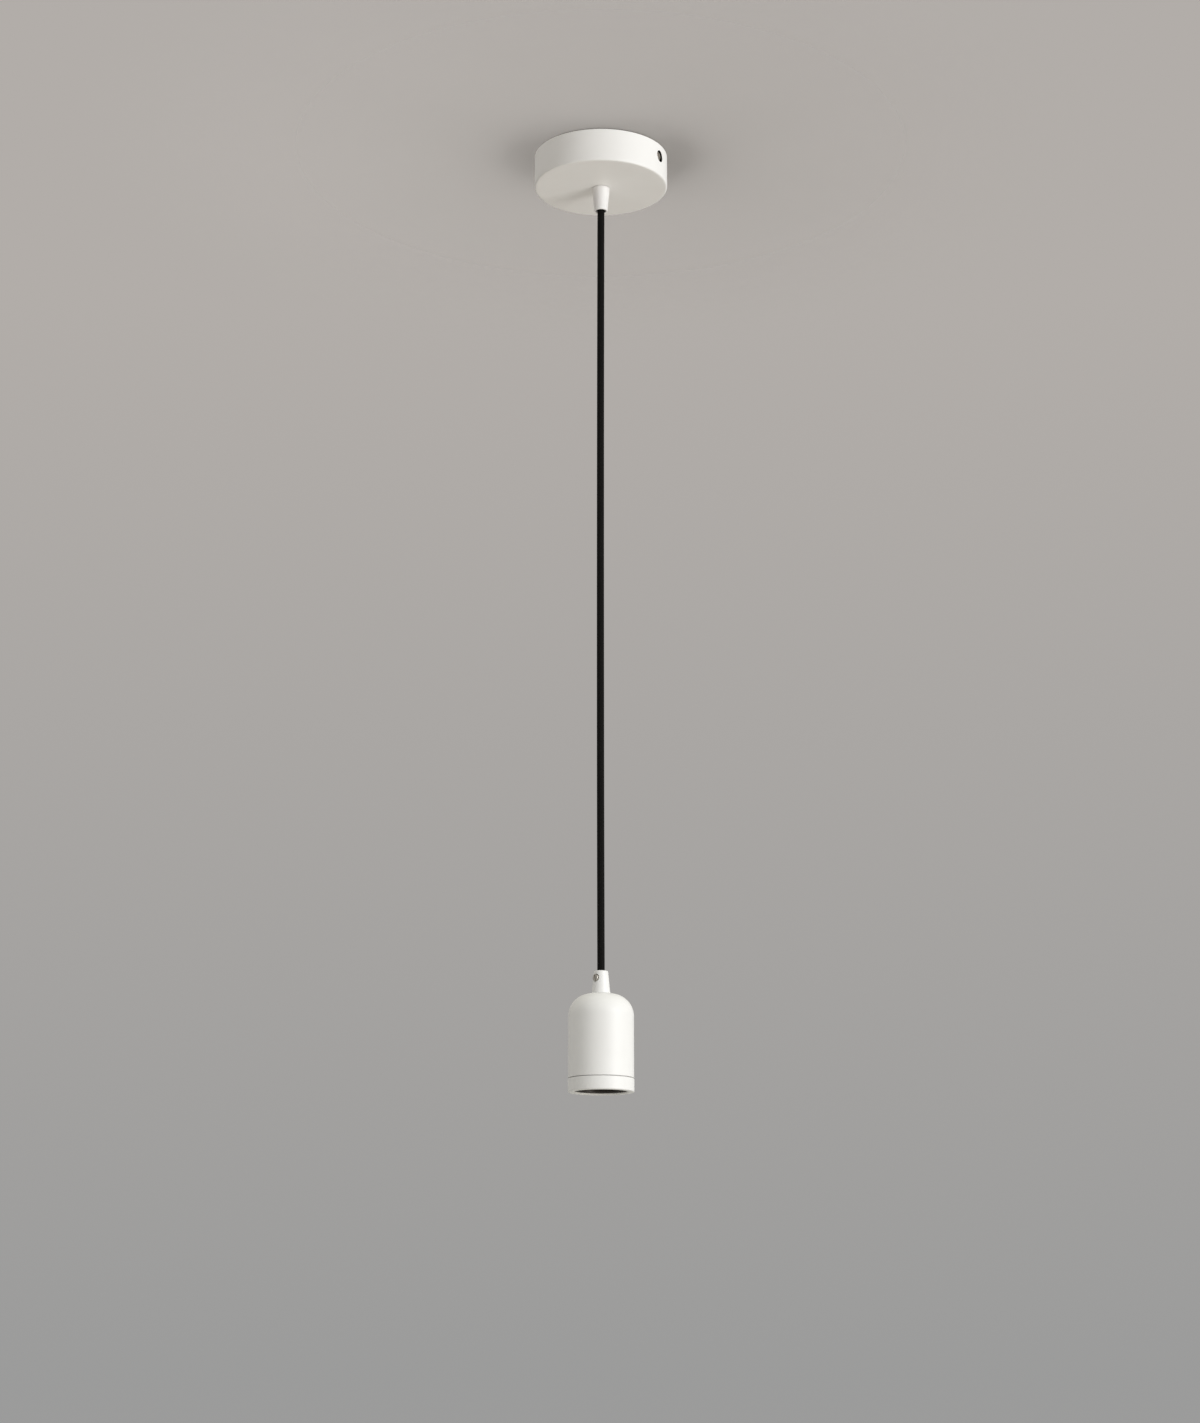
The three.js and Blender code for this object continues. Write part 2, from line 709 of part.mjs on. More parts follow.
function holderYoke() {
  const legEnd = yokeScrewHeight - yokeLegMargin;
  const line = [
    [yokeLeg + yokeThickness, legEnd],
    [yokeLeg + yokeThickness, yokeShoulder],
    [yokeTopHalf, yokeTop],
    [-yokeTopHalf, yokeTop],
    [-yokeLeg - yokeThickness, yokeShoulder],
    [-yokeLeg - yokeThickness, legEnd],
  ];
  const yoke = bentStrip(line, yokeThickness, yokeWidth, yokeBend);
  const across = (from, to, radius, z) => rod(radius + seat, [from, 0, z], [to, 0, z], screwSides);
  const past = yokeLeg + yokeThickness + overshoot;
  const tools = [
    across(-past, past, smallScrewDiameter / 2, yokeScrewHeight),
    across(-past, 0, earthScrewDiameter / 2, yokeEarthHeight),
    rod(
      tubeRadius + seat,
      [0, 0, yokeTop - yokeThickness - overshoot],
      [0, 0, yokeTop + overshoot],
      fittingSides,
    ),
  ];
  return cut(yoke, tools);
}

function socketBody() {
  const body = turned(
    [
      [0, socketTop],
      [socketRadius, socketTop, socketMouthRounding, smallCornerSteps],
      [socketRadius, socketBottom + socketRimHeight],
      [socketRimRadius, socketBottom + socketRimHeight],
      [socketRimRadius, socketBottom],
      [socketMouthRadius, socketBottom, socketMouthRounding, smallCornerSteps],
      [socketMouthRadius, socketBottom + socketMouthDepth],
      [socketBoreRadius, socketBottom + socketMouthDepth],
      [socketBoreRadius, socketFloorHeight],
      [0, socketFloorHeight],
    ],
    socketSides,
  );
  const flatBase = socketBottom + socketRimHeight;
  const tools = [1, -1].flatMap((side) => {
    const reach = side * (socketRadius + overshoot);
    const [low, high] = [side * socketFlat, reach].sort((a, b) => a - b);
    const flat = block([-socketRadius, low, flatBase], [socketRadius, high, socketTop + overshoot]);
    const pilot = rod(
      smallScrewDiameter / 2 + seat,
      [0, side * (socketFlat - yokeScrewDepth - seat), yokeScrewHeight],
      [0, reach, yokeScrewHeight],
      smallSides,
    );
    return [flat, pilot];
  });
  [shellRivetX, contactRivetX].forEach((x) => {
    const ends = [socketFloorHeight - overshoot, socketTop + overshoot].map((z) => [x, 0, z]);
    tools.push(rod(rivetDiameter / 2 + seat, ...ends, smallSides));
  });
  return cut(body, tools);
}

// The rolled shell of the lamp socket. A plain turned tube is made first, and then the knuckle
// thread is rolled into it: each point of the wall moves in or out with its place on a
// right-handed helix, and the wave fades out towards both ends of the thread.
function socketScrewShell() {
  const inner = threadMean;
  const outer = threadMean + sheetThickness;
  const rows = Math.round((threadTurns + 1) * rowsPerPitch);
  const heights = Array.from({ length: rows + 1 }, (_, i) => (screwShellHeight * i) / rows);
  const top = screwShellHeight;
  const tube = turned(
    [
      ...heights.slice(0, -1).map((z) => [inner, z]),
      [inner, top - sheetThickness],
      [flangeHoleRadius, top - sheetThickness],
      [flangeHoleRadius, top],
      ...heights.toReversed().map((z) => [outer, z]),
    ],
    threadSides,
  );
  const fade = threadLead + threadPitch / 2;
  const place = tube.attributes.position;
  for (let i = 0; i < place.count; i++) {
    const [x, y, z] = [place.getX(i), place.getY(i), place.getZ(i)];
    const radius = Math.hypot(x, y);
    if (radius < inner - sheetThickness / 2) continue;
    const fadeIn = THREE.MathUtils.smoothstep(z, 0, fade);
    const fadeOut = THREE.MathUtils.smoothstep(top - z, sheetThickness, fade);
    const wave = Math.cos((2 * Math.PI * z) / threadPitch - Math.atan2(y, x));
    const moved = radius + (threadDepth / 2) * wave * fadeIn * fadeOut;
    place.setXY(i, (x * moved) / radius, (y * moved) / radius);
  }
  const ends = [top - sheetThickness - overshoot, top + overshoot].map((z) => [shellRivetX, 0, z]);
  return cut(tube, [rod(rivetDiameter / 2 + seat, ...ends, smallSides)]);
}

// The spring that touches the lamp's centre: it lies on the floor under its rivet and bends down.
function centreContact() {
  const floor = socketFloorHeight - seat;
  const low = floor - contactDrop;
  const line = [
    [-contactTongue, low + contactThickness],
    [-contactTongue / 2, low],
    [contactTongue / 4, low],
    [contactRivetX - rivetHeadDiameter / 2, floor - contactThickness],
    [contactEnd, floor - contactThickness],
  ];
  const strip = bentStrip(line, contactThickness, contactWidth, contactThickness / 2);
  const ends = [low, floor + overshoot].map((z) => [contactRivetX, 0, z]);
  return cut(strip, [rod(rivetDiameter / 2 + seat, ...ends, smallSides)]);
}

// A rivet through the socket's floor, from under the piece it holds to above a terminal's foot.
function floorRivet(held) {
  const lowHead = -held - 2 * seat;
  const highHead = socketFloor + seat + terminalFoot + seat;
  const radius = rivetDiameter / 2;
  const headRadius = rivetHeadDiameter / 2;
  return turned(
    [
      [0, lowHead - rivetHeadHeight],
      [radius, lowHead - rivetHeadHeight],
      [headRadius, lowHead],
      [radius, lowHead],
      [radius, highHead],
      [headRadius, highHead],
      [radius, highHead + rivetHeadHeight],
      [0, highHead + rivetHeadHeight],
    ],
    smallSides,
  );
}

// A pillar terminal with its foot: the rivet goes through the origin, the pillar stands on +X.
function pillarTerminal() {
  const half = terminalWidth / 2;
  const far = terminalFootReach + terminalLength;
  const outline = [
    [-terminalFootTail, 0],
    [far, 0],
    [far, terminalHeight],
    [terminalFootReach, terminalHeight],
    [terminalFootReach, terminalFoot],
    [-terminalFootTail, terminalFoot],
  ];
  const body = plate(roundedOutline(outline), terminalWidth);
  body.translate(0, 0, -half);
  body.rotateX(Math.PI / 2);
  const screwX = terminalFootReach + terminalLength / 2;
  const screwHole = clampScrewDiameter / 2 + seat;
  return cut(body, [
    rod(rivetDiameter / 2 + seat, [0, 0, -overshoot], [0, 0, terminalFoot + overshoot], smallSides),
    rod(poleBoreRadius, [0, 0, terminalBoreHeight], [far + overshoot, 0, terminalBoreHeight], smallSides),
    rod(screwHole, [screwX, 0, terminalBoreHeight], [screwX, 0, terminalHeight + overshoot], smallSides),
  ]);
}

// One core of the cord: it leaves the jacket straight, swings over to its terminal or lug and
// runs on into it.
function core(start, leave, port, enter, bend, inside) {
  const first = new THREE.Vector3(...start);
  const last = new THREE.Vector3(...port);
  const into = new THREE.Vector3(...enter);
  const route = new THREE.CurvePath();
  const swingOut = first.clone().add(new THREE.Vector3(0, 0, leave * bend));
  const swingIn = last.clone().addScaledVector(into, -bend);
  route.add(new THREE.CubicBezierCurve3(first, swingOut, swingIn, last));
  route.add(new THREE.LineCurve3(last, last.clone().addScaledVector(into, inside)));
  return drawn(route, coreRadius, coreSides, coreSteps);
}

// Where core number i leaves the jacket at height z.
function coreStart(i, z) {
  return [coreSpread * Math.cos(coreAngles[i]), coreSpread * Math.sin(coreAngles[i]), z];
}

// The assembly

const pendantCordSet = new THREE.Group();

function add(group, name, geometry, finish, position = [0, 0, 0], rotation = [0, 0, 0]) {
  const mesh = new THREE.Mesh(geometry, new THREE.MeshStandardMaterial(finish));
  mesh.name = name;
  mesh.position.set(...position);
  mesh.rotation.set(...rotation);
  group.add(mesh);
}

function addGroup(parent, position = [0, 0, 0], rotation = [0, 0, 0]) {
  const group = new THREE.Group();
  group.position.set(...position);
  group.rotation.set(...rotation);
  parent.add(group);
  return group;
}

// A cord grip and its set screw, in a group whose +Z runs from the foot to the tip.
function addGrip(parent, end, length) {
  const group = addGroup(parent);
  add(group, `${end}_grip`, cordGrip(length), whiteCoat);
  const screwStart = cordRadius + seat;
  const screwLength = gripRadiusAtScrew(length) + gripScrewProud - screwStart;
  const screw = addGroup(group, [screwStart, 0, gripScrewHeight(length)], [0, Math.PI / 2, 0]);
  const shape = setScrew(gripScrewDiameter / 2, screwLength, screwSides);
  add(screw, `${end}_grip_screw`, shape, nickelSteel, [0, 0, 0], [0, 0, gripSlotTurn]);
}

function addCeilingSide(parent) {
  add(parent, 'canopy_cup', canopyCup(), whiteCoat);
  add(parent, 'ceiling_strap', ceilingStrap(), zincSteel);
  const shank = sideScrewThreadShown + strapThickness + sideScrewThreadPast;
  [1, -1].forEach((side, i) => {
    const radii = [sideScrewDiameter / 2, sideScrewHeadDiameter / 2];
    const screw = slottedScrew(...radii, sideScrewHeadLength, shank, screwSides);
    const place = [side * sideHeadBack, 0, -sideScrewDrop];
    add(parent, `side_screw_${i + 1}`, screw, nickelSteel, place, [0, (side * Math.PI) / 2, 0]);
  });
  addCanopyTube(parent);
  addTerminalBlock(parent);
  addCeilingEarth(parent);
  addCeilingCores(parent);
}

function addCanopyTube(parent) {
  const tubeStart = -canopyHeight - seat - tubeTail;
  const washerBase = canopyFloor + seat;
  const nutBase = washerBase + washerThickness + seat;
  add(parent, 'canopy_tube', threadedTube(canopyTubeEnd - tubeStart), zincSteel, [0, 0, tubeStart]);
  add(parent, 'canopy_washer', toothedWasher(), zincSteel, [0, 0, washerBase]);
  add(parent, 'canopy_nut', lockNut(), zincSteel, [0, 0, nutBase]);
  const turn = addGroup(parent, [0, 0, -canopyHeight - seat], [0, 0, canopyGripScrewAngle]);
  const hanging = addGroup(turn, [0, 0, 0], [Math.PI, 0, 0]);
  addGrip(hanging, 'canopy', canopyGripLength);
}

function addTerminalBlock(parent) {
  const group = addGroup(parent, [blockCentre, 0, 0]);
  add(group, 'terminal_block', terminalBlock(), whitePlastic);
  const headSeat = blockBottom + blockScrewCounterbore - seat;
  const radii = [smallScrewDiameter / 2, smallScrewHeadDiameter / 2];
  const fixing = slottedScrew(...radii, smallScrewHeadLength, -seat - headSeat, screwSides);
  add(group, 'block_fixing_screw', fixing, zincSteel, [0, 0, headSeat], [Math.PI, 0, 0]);
  const clampTip = poleHeight - coreRadius - seat;
  const clampLength = clampTip - blockBottom - clampScrewRecess;
  ['live', 'neutral'].forEach((pole, i) => {
    const y = ((i === 0 ? 1 : -1) * poleSpacing) / 2;
    add(group, `block_tube_${pole}`, poleTube(), brass, [0, y, poleHeight]);
    [1, -1].forEach((end, k) => {
      const place = [(end * clampScrewSpacing) / 2, y, clampTip];
      const screw = setScrew(clampScrewDiameter / 2, clampLength, smallSides);
      add(group, `block_screw_${2 * i + k + 1}`, screw, zincSteel, place, [Math.PI, 0, 0]);
    });
  });
}

function addCeilingEarth(parent) {
  const x = washerRadius + earthScrewMargin;
  const lugTop = -strapThickness - seat;
  const screwSeat = lugTop - lugThickness - seat;
  const radii = [earthScrewDiameter / 2, earthScrewHeadDiameter / 2];
  const screw = slottedScrew(...radii, earthScrewHeadLength, -seat - screwSeat, screwSides);
  add(parent, 'ceiling_earth_lug', earthLug(), zincSteel, [x, 0, lugTop], [Math.PI, 0, Math.PI / 2]);
  add(parent, 'ceiling_earth_screw', screw, brass, [x, 0, screwSeat], [Math.PI, 0, 0]);
}

function addCeilingCores(parent) {
  const z = cordTop + seat;
  const inPole = blockLength / 2;
  const lugMouth = [washerRadius + earthScrewMargin - lugBarrelEnd, 0, blockTop - lugBarrelRadius];
  const earth = core(coreStart(0, z), 1, lugMouth, [1, 0, 0], ceilingCoreBend, lugBarrelLength / 2);
  const pole = (i, side) => {
    const port = [blockNear, (side * poleSpacing) / 2, poleHeight];
    return core(coreStart(i, z), 1, port, [-1, 0, 0], ceilingCoreBend, inPole);
  };
  add(parent, 'ceiling_core_earth', earth, earthCore);
  add(parent, 'ceiling_core_live', pole(1, 1), brownCore);
  add(parent, 'ceiling_core_neutral', pole(2, -1), blueCore);
}

function addCord(parent) {
  const length = cordTop - cordBottom;
  const points = cordRoute.map(([x, y, share]) => new THREE.Vector3(x, y, cordTop - share * length));
  const route = new THREE.CatmullRomCurve3(points, false, 'centripetal');
  add(parent, 'cord', drawn(route, cordRadius, cordSides, cordSteps), blackTextile);
}

function addLampSide(parent) {
  const turn = addGroup(parent, [0, 0, shellTop + seat], [0, 0, holderGripScrewAngle]);
  addGrip(turn, 'holder', holderGripLength);
  const ringBase = shellTop - shellHeight - ringGap - ringHeight;
  add(parent, 'holder_shell', holderShell(), whiteCoat, [0, 0, shellTop]);
  add(parent, 'holder_ring', holderRing(), whiteCoat, [0, 0, ringBase]);
  addHolderTube(parent);
  addYoke(parent);
  addSocket(parent);
  addHolderCores(parent);
}

function addHolderTube(parent) {
  const tubeStart = shellTop + seat + tubeTail;
  const washerBase = yokeTop + seat;
  const nutBase = yokeTop - yokeThickness - seat - nutThickness;
  add(parent, 'holder_tube', threadedTube(tubeStart - holderTubeEnd), zincSteel, [0, 0, holderTubeEnd]);
  add(parent, 'holder_washer', toothedWasher(), zincSteel, [0, 0, washerBase]);
  add(parent, 'holder_nut', lockNut(), zincSteel, [0, 0, nutBase]);
}

// The yoke's legs stand on +Y and -Y, so its group is turned a quarter.
function addYoke(parent) {
  const group = addGroup(parent, [0, 0, 0], [0, 0, Math.PI / 2]);
  add(group, 'holder_yoke', holderYoke(), zincSteel);
  const legFace = yokeLeg + yokeThickness + seat;
  const shank = legFace - socketFlat + yokeScrewDepth;
  [1, -1].forEach((side, i) => {
    const radii = [smallScrewDiameter / 2, smallScrewHeadDiameter / 2];
    const screw = slottedScrew(...radii, smallScrewHeadLength, shank, screwSides);
    const place = [side * legFace, 0, yokeScrewHeight];
    add(group, `yoke_screw_${i + 1}`, screw, zincSteel, place, [0, (side * Math.PI) / 2, 0]);
  });
  const lugBack = -(yokeLeg - seat);
  const screwSeat = lugBack + lugThickness + seat;
  const earthShank = yokeLeg + yokeThickness + yokeEarthProud + screwSeat;
  const radii = [earthScrewDiameter / 2, earthScrewHeadDiameter / 2];
  const screw = slottedScrew(...radii, earthScrewHeadLength, earthShank, screwSides);
  const inward = [Math.PI / 2, Math.PI / 2, 0];
  add(group, 'holder_earth_lug', earthLug(), zincSteel, [lugBack, 0, yokeEarthHeight], inward);
  add(group, 'holder_earth_screw', screw, brass, [screwSeat, 0, yokeEarthHeight], inward);
}

function addSocket(parent) {
  const shellBase = socketFloorHeight - seat - screwShellHeight;
  add(parent, 'socket_body', socketBody(), darkPhenolic);
  add(parent, 'socket_screw_shell', socketScrewShell(), brass, [0, 0, shellBase]);
  add(parent, 'socket_centre_contact', centreContact(), brass);
  const screwTip = terminalBoreCentre + coreRadius + seat;
  const screwLength = terminalBase + terminalHeight + terminalScrewProud - screwTip;
  const poles = [
    ['live', contactRivetX, 0, contactThickness],
    ['neutral', shellRivetX, Math.PI / 2, sheetThickness],
  ];
  poles.forEach(([pole, x, turn, held]) => {
    const group = addGroup(parent, [x, 0, terminalBase], [0, 0, turn]);
    const screwX = terminalFootReach + terminalLength / 2;
    const screw = setScrew(clampScrewDiameter / 2, screwLength, smallSides);
    add(group, `${pole}_terminal`, pillarTerminal(), brass);
    add(group, `${pole}_terminal_screw`, screw, zincSteel, [screwX, 0, screwTip - terminalBase]);
    add(parent, `${pole}_rivet`, floorRivet(held), brass, [x, 0, socketFloorHeight]);
  });
}

function addHolderCores(parent) {
  const z = cordBottom - seat;
  const live = core(
    coreStart(0, z),
    -1,
    [contactRivetX + terminalFootReach, 0, terminalBoreCentre],
    [1, 0, 0],
    liveCoreBend,
    terminalCoreReach,
  );
  const neutral = core(
    coreStart(1, z),
    -1,
    [shellRivetX, terminalFootReach, terminalBoreCentre],
    [0, 1, 0],
    neutralCoreBend,
    terminalCoreReach,
  );
  const lugMouth = [0, -(yokeLeg - seat - lugBarrelRadius), yokeEarthHeight + lugBarrelEnd];
  const earth = core(coreStart(2, z), -1, lugMouth, [0, 0, -1], earthCoreBend, lugBarrelLength / 2);
  add(parent, 'holder_core_live', live, brownCore);
  add(parent, 'holder_core_neutral', neutral, blueCore);
  add(parent, 'holder_core_earth', earth, earthCore);
}

addCeilingSide(pendantCordSet);
addCord(pendantCordSet);
addLampSide(pendantCordSet);

export default pendantCordSet;
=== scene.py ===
"""Looks of a pendant cord set: ceiling canopy, textile cord and E27 lamp holder.

The sizes are those of the CAD source, in millimetres. Meshes are made from millimetres
and stored in metres. The stage, the camera and the lamps are in metres.
"""

import itertools
import json
import math

import bmesh
import bpy
import numpy as np
from mathutils import Matrix, Vector


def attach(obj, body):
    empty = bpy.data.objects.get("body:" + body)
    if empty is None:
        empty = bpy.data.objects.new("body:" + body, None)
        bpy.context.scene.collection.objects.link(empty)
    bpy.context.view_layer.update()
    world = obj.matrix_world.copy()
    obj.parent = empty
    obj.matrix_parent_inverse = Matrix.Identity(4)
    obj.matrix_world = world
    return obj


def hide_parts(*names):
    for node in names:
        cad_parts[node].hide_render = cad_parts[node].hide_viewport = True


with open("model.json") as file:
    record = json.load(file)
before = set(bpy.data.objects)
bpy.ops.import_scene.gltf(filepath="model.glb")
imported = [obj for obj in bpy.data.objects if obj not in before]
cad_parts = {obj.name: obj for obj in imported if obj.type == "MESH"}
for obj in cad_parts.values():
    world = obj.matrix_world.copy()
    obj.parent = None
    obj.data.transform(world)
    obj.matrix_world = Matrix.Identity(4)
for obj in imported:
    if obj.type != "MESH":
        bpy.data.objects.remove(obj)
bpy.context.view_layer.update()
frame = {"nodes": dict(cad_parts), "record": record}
scene = bpy.context.scene
MM = 0.001
TAU = 2 * math.pi

# Cord, cores, threaded tubes, nuts and washers
SEAT = 0.3
CORD_R = 2.65
CORD_DROP = 576.3
JACKET_PROUD = 1.5
CORE_R = 0.95
CORE_PLAY = 0.35
CORE_SPREAD = 1.3
CEILING_CORE_BEND = 6.0
HOLDER_CORE_BEND = {"live": 7.0, "neutral": 8.0, "earth": 3.5}
TUBE_R = 5.0
TUBE_PITCH = 1.0
TUBE_PROUD = 1.0
BORE_R = 3.7
NUT_FLAT = 7.0
NUT_THICK = 3.0
WASHER_THICK = 0.8

# Cord grips
GRIP_LENGTH = {"canopy": 18.2, "holder": 16.0}
GRIP_FOOT_R = 6.6
GRIP_FOOT_HEIGHT = 1.2
GRIP_FOOT_STEP = 0.15
GRIP_TIP_R = 5.0
GRIP_TIP_ROUNDING = 0.8
GRIP_MOUTH_ROUNDING = 0.4
GRIP_THREAD = 6.0
GRIP_SCREW_R = 2.5
GRIP_SCREW_DROP = 5.2
GRIP_SCREW_PROUD = 0.5
CANOPY_SCREW_ANGLE = math.radians(116)
HOLDER_SCREW_ANGLE = math.radians(-107)
GRIP_SLOT_TURN = math.radians(14)

# Canopy, its side screws and the ceiling strap
CANOPY_R = 50.0
CANOPY_H = 25.0
CANOPY_WALL = 1.0
CANOPY_EDGE = 1.3
SIDE_HOLE_R = 4.45
SIDE_HOLE_Z = -9.4
SIDE_SCREW_Z = -8.95
SIDE_HEAD_R = 3.7
SIDE_HEAD_FACE = 49.1
SIDE_HEAD_LENGTH = 3.4
SIDE_SHANK_R = 2.5
SIDE_THREAD_SHOWN = 2.0
SIDE_THREAD_PAST = 4.0
SIDE_SLOT_TURN = math.radians(33)
EAR_FACE = 43.7
EAR_MARGIN = 5.5
SLOT_R = 2.5
SLOT_LENGTH = 13.0
SLOT_INSET = 4.0
STRAP_WIDTH = 16.0
STRAP_THICK = 1.5
STRAP_BEND = 1.0

# Terminal block, small screws and lugs
BLOCK_X = -17.0
BLOCK_LENGTH = 17.0
BLOCK_BOTTOM = -13.8
BLOCK_COUNTERBORE = 8.0
POLE_Y = 6.5
POLE_Z = -5.8
EARTH_X = 13.0
CLAMP_R = 1.2
CLAMP_SPACING = 8.4
CLAMP_RECESS = 0.6
SMALL_R = 1.5
SMALL_HEAD = (2.7, 1.8)
EARTH_R = 2.0
EARTH_HEAD = (3.6, 2.4)
COARSE_PITCH = {CLAMP_R: 0.45, SMALL_R: 0.5, EARTH_R: 0.7, SIDE_SHANK_R: 0.8}
SLOT_RATIO = 0.15
SLOT_DEPTH_RATIO = 0.36
LUG_THICK = 0.8
LUG_REACH = 8.8
LUG_BARREL = 4.5
LUG_BARREL_WALL = 0.45

# Holder shell and ring
SHELL_R = 23.1
SHELL_WALL = 1.6
SHELL_H = 58.8
DOME_FLAT_R = 7.5
RING_GAP = 0.5
RING_R = 23.3
RING_H = 9.3
RING_MOUTH_R = 18.8
RING_LIP = 1.1
RING_LIP_BEVEL = (0.5, 0.9)
RING_EDGE = 0.8
RING_BEVEL = 0.35
RING_BORE_R = 20.3
RING_NECK_R = 21.2
RING_NECK_H = 6.5
RING_PITCH = 1.5

# Socket and its E27 thread
SOCKET_RIM_R = 20.0
SOCKET_RIM_H = 8.0
SOCKET_R = 18.5
SOCKET_FLAT = 17.0
SOCKET_MOUTH_R = 17.8
SOCKET_MOUTH_DEPTH = 5.0
SOCKET_BORE_R = 14.1
SOCKET_WEB = 11.0
SHELL_SETBACK = 2.0
THREAD_PITCH = 25.4 / 7
THREAD_TURNS = 4
THREAD_MEAN = 12.8
THREAD_DEPTH = 1.0
THREAD_LEAD = 1.9
THREAD_SIDES = 26
SHEET = 0.5
FLANGE_HOLE_R = 8.0
CONTACT_WIDTH = 5.0
CONTACT_THICK = 0.6
CONTACT_DROP = 3.2
CONTACT_EDGE = 0.8

# Rivets, terminals and yoke
RIVET_R = 1.2
RIVET_HEAD_R = 2.0
RIVET_HEAD_H = 0.9
TERMINAL_PLATE = 1.2
TERMINAL_FOOT = 4.5
TERMINAL_LENGTH = 7.0
TERMINAL_H = 6.5
TERMINAL_BORE = 3.9
TERMINAL_SCREW_PROUD = 1.4
TERMINAL_CORE_REACH = 5.6
YOKE_THICK = 1.0
YOKE_SCREW_DROP = 5.5
YOKE_SCREW_DEPTH = 6.0
YOKE_EARTH_DROP = 17.8
YOKE_EARTH_PROUD = 1.5

# Where the pieces stand: heights, and places across the socket
SHELL_TOP = -(CANOPY_H + 2 * SEAT + sum(GRIP_LENGTH.values()) + CORD_DROP)
SHELL_END = SHELL_TOP - SHELL_H
RING_BASE = SHELL_END - RING_GAP - RING_H
SOCKET_BASE = RING_BASE + RING_LIP + SEAT
THREAD_HEIGHT = THREAD_TURNS * THREAD_PITCH + 2 * THREAD_LEAD
SOCKET_FLOOR = SOCKET_BASE + SOCKET_MOUTH_DEPTH + SHELL_SETBACK + THREAD_HEIGHT + SEAT
SOCKET_TOP = SOCKET_FLOOR + SOCKET_WEB
TERMINAL_BASE = SOCKET_TOP + SEAT
CANOPY_FLOOR = -CANOPY_H + CANOPY_WALL
CANOPY_NUT = CANOPY_FLOOR + 2 * SEAT + WASHER_THICK
CANOPY_TUBE = (-CANOPY_H - GRIP_THREAD, CANOPY_NUT + NUT_THICK + TUBE_PROUD)
YOKE_TOP = SHELL_TOP - SHELL_WALL - 2 * SEAT - WASHER_THICK
YOKE_EARTH = YOKE_TOP - YOKE_EARTH_DROP
YOKE_SCREW = SOCKET_TOP - YOKE_SCREW_DROP
HOLDER_NUT = YOKE_TOP - YOKE_THICK - SEAT - NUT_THICK
HOLDER_TUBE = (HOLDER_NUT - TUBE_PROUD, SHELL_TOP + GRIP_THREAD)
CORD_TOP = CANOPY_TUBE[1] + JACKET_PROUD
CORD_END = HOLDER_TUBE[0] - JACKET_PROUD
LUG_MIDDLE = CORE_R + CORE_PLAY + LUG_BARREL_WALL
NEUTRAL_X = -(FLANGE_HOLE_R + THREAD_MEAN - THREAD_DEPTH / 2) / 2
CONTACT_ROOM = FLANGE_HOLE_R * math.cos(math.pi / THREAD_SIDES) - SEAT
CONTACT_END = math.sqrt(CONTACT_ROOM**2 - (CONTACT_WIDTH / 2) ** 2)
LIVE_X = CONTACT_END - CONTACT_EDGE - SEAT - RIVET_R

# Fine forms that are in the looks alone
SIDE_HEAD_EDGE = 1.9
SIDE_HOLE_FLARE = 0.12
SIDE_HOLE_RIM = 0.3
SIDE_HOLE_RELIEF = 1.5
GRIP_HOLE_FLARE = 0.1
EDGE_WIDTH = {"zinc_steel": 0.08, "brass": 0.08, "terminal_plastic": 0.15}


def linked(name, data):
    obj = bpy.data.objects.new(name, data)
    scene.collection.objects.link(obj)
    return obj


# The camera stands where the photograph was taken from

CAMERA_TURN = math.radians(27.6)
CAMERA_TILT = 0.24
CAMERA_AWAY = 1.903
CAMERA_LEFT = 0.000696
CAMERA_DOWN = 0.897455
camera = linked("camera", bpy.data.cameras.new("camera"))
scene.camera = camera
camera.data.lens = 68.83
camera.data.sensor_width = 36
across = Vector((math.cos(CAMERA_TURN), math.sin(CAMERA_TURN), 0))
towards = Vector((math.sin(CAMERA_TURN), -math.cos(CAMERA_TURN), 0))
camera.location = towards * CAMERA_AWAY - across * CAMERA_LEFT - Vector((0, 0, CAMERA_DOWN))
camera.rotation_euler = (math.pi / 2 + CAMERA_TILT, 0, CAMERA_TURN)


# Meshes


def solid(verts, faces, name="tool"):
    """A mesh from corners in millimetres. A tool only cuts another mesh."""
    mesh = bpy.data.meshes.new(name)
    mesh.from_pydata([tuple(c * MM for c in v) for v in verts], [], faces)
    return linked(name, mesh)


def piece(name, verts, faces, node, slot, angle=30, uv=None):
    """A mesh that stands for a CAD node. Edges that turn by more than angle degrees are sharp."""
    obj = solid(verts, faces, name)
    if uv is not None:
        layer = obj.data.uv_layers.new(name="along")
        layer.data.foreach_set("uv", np.asarray(uv, np.float32).ravel())
    obj.data.materials.append(FINISH[slot])
    obj["angle"] = angle
    shade(obj)
    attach(obj, "root")
    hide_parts(node)
    return obj


def shade(obj):
    obj.data.shade_smooth()
    obj.data.set_sharp_from_angle(angle=math.radians(obj["angle"]))


def rounded(corners, steps):
    """An outline with its corners rounded. A corner is (x, y) or (x, y, radius)."""
    out = []
    count = len(corners)
    for i, corner in enumerate(corners):
        here = Vector(corner[:2])
        radius = corner[2] if len(corner) > 2 else 0
        if not radius:
            out.append(tuple(here))
            continue
        last = (Vector(corners[i - 1][:2]) - here).normalized()
        after = (Vector(corners[(i + 1) % count][:2]) - here).normalized()
        half = math.acos(max(-1, min(1, last.dot(after)))) / 2
        centre = here + (last + after).normalized() * (radius / math.sin(half))
        start = here + last * (radius / math.tan(half)) - centre
        sweep = math.pi - 2 * half
        if last.x * after.y - last.y * after.x > 0:
            sweep = -sweep
        for k in range(steps + 1):
            a = sweep * k / steps
            x = centre.x + start.x * math.cos(a) - start.y * math.sin(a)
            y = centre.y + start.x * math.sin(a) + start.y * math.cos(a)
            out.append((x, y))
    return out


def polar(radius, angle):
    return radius * math.cos(angle), radius * math.sin(angle)


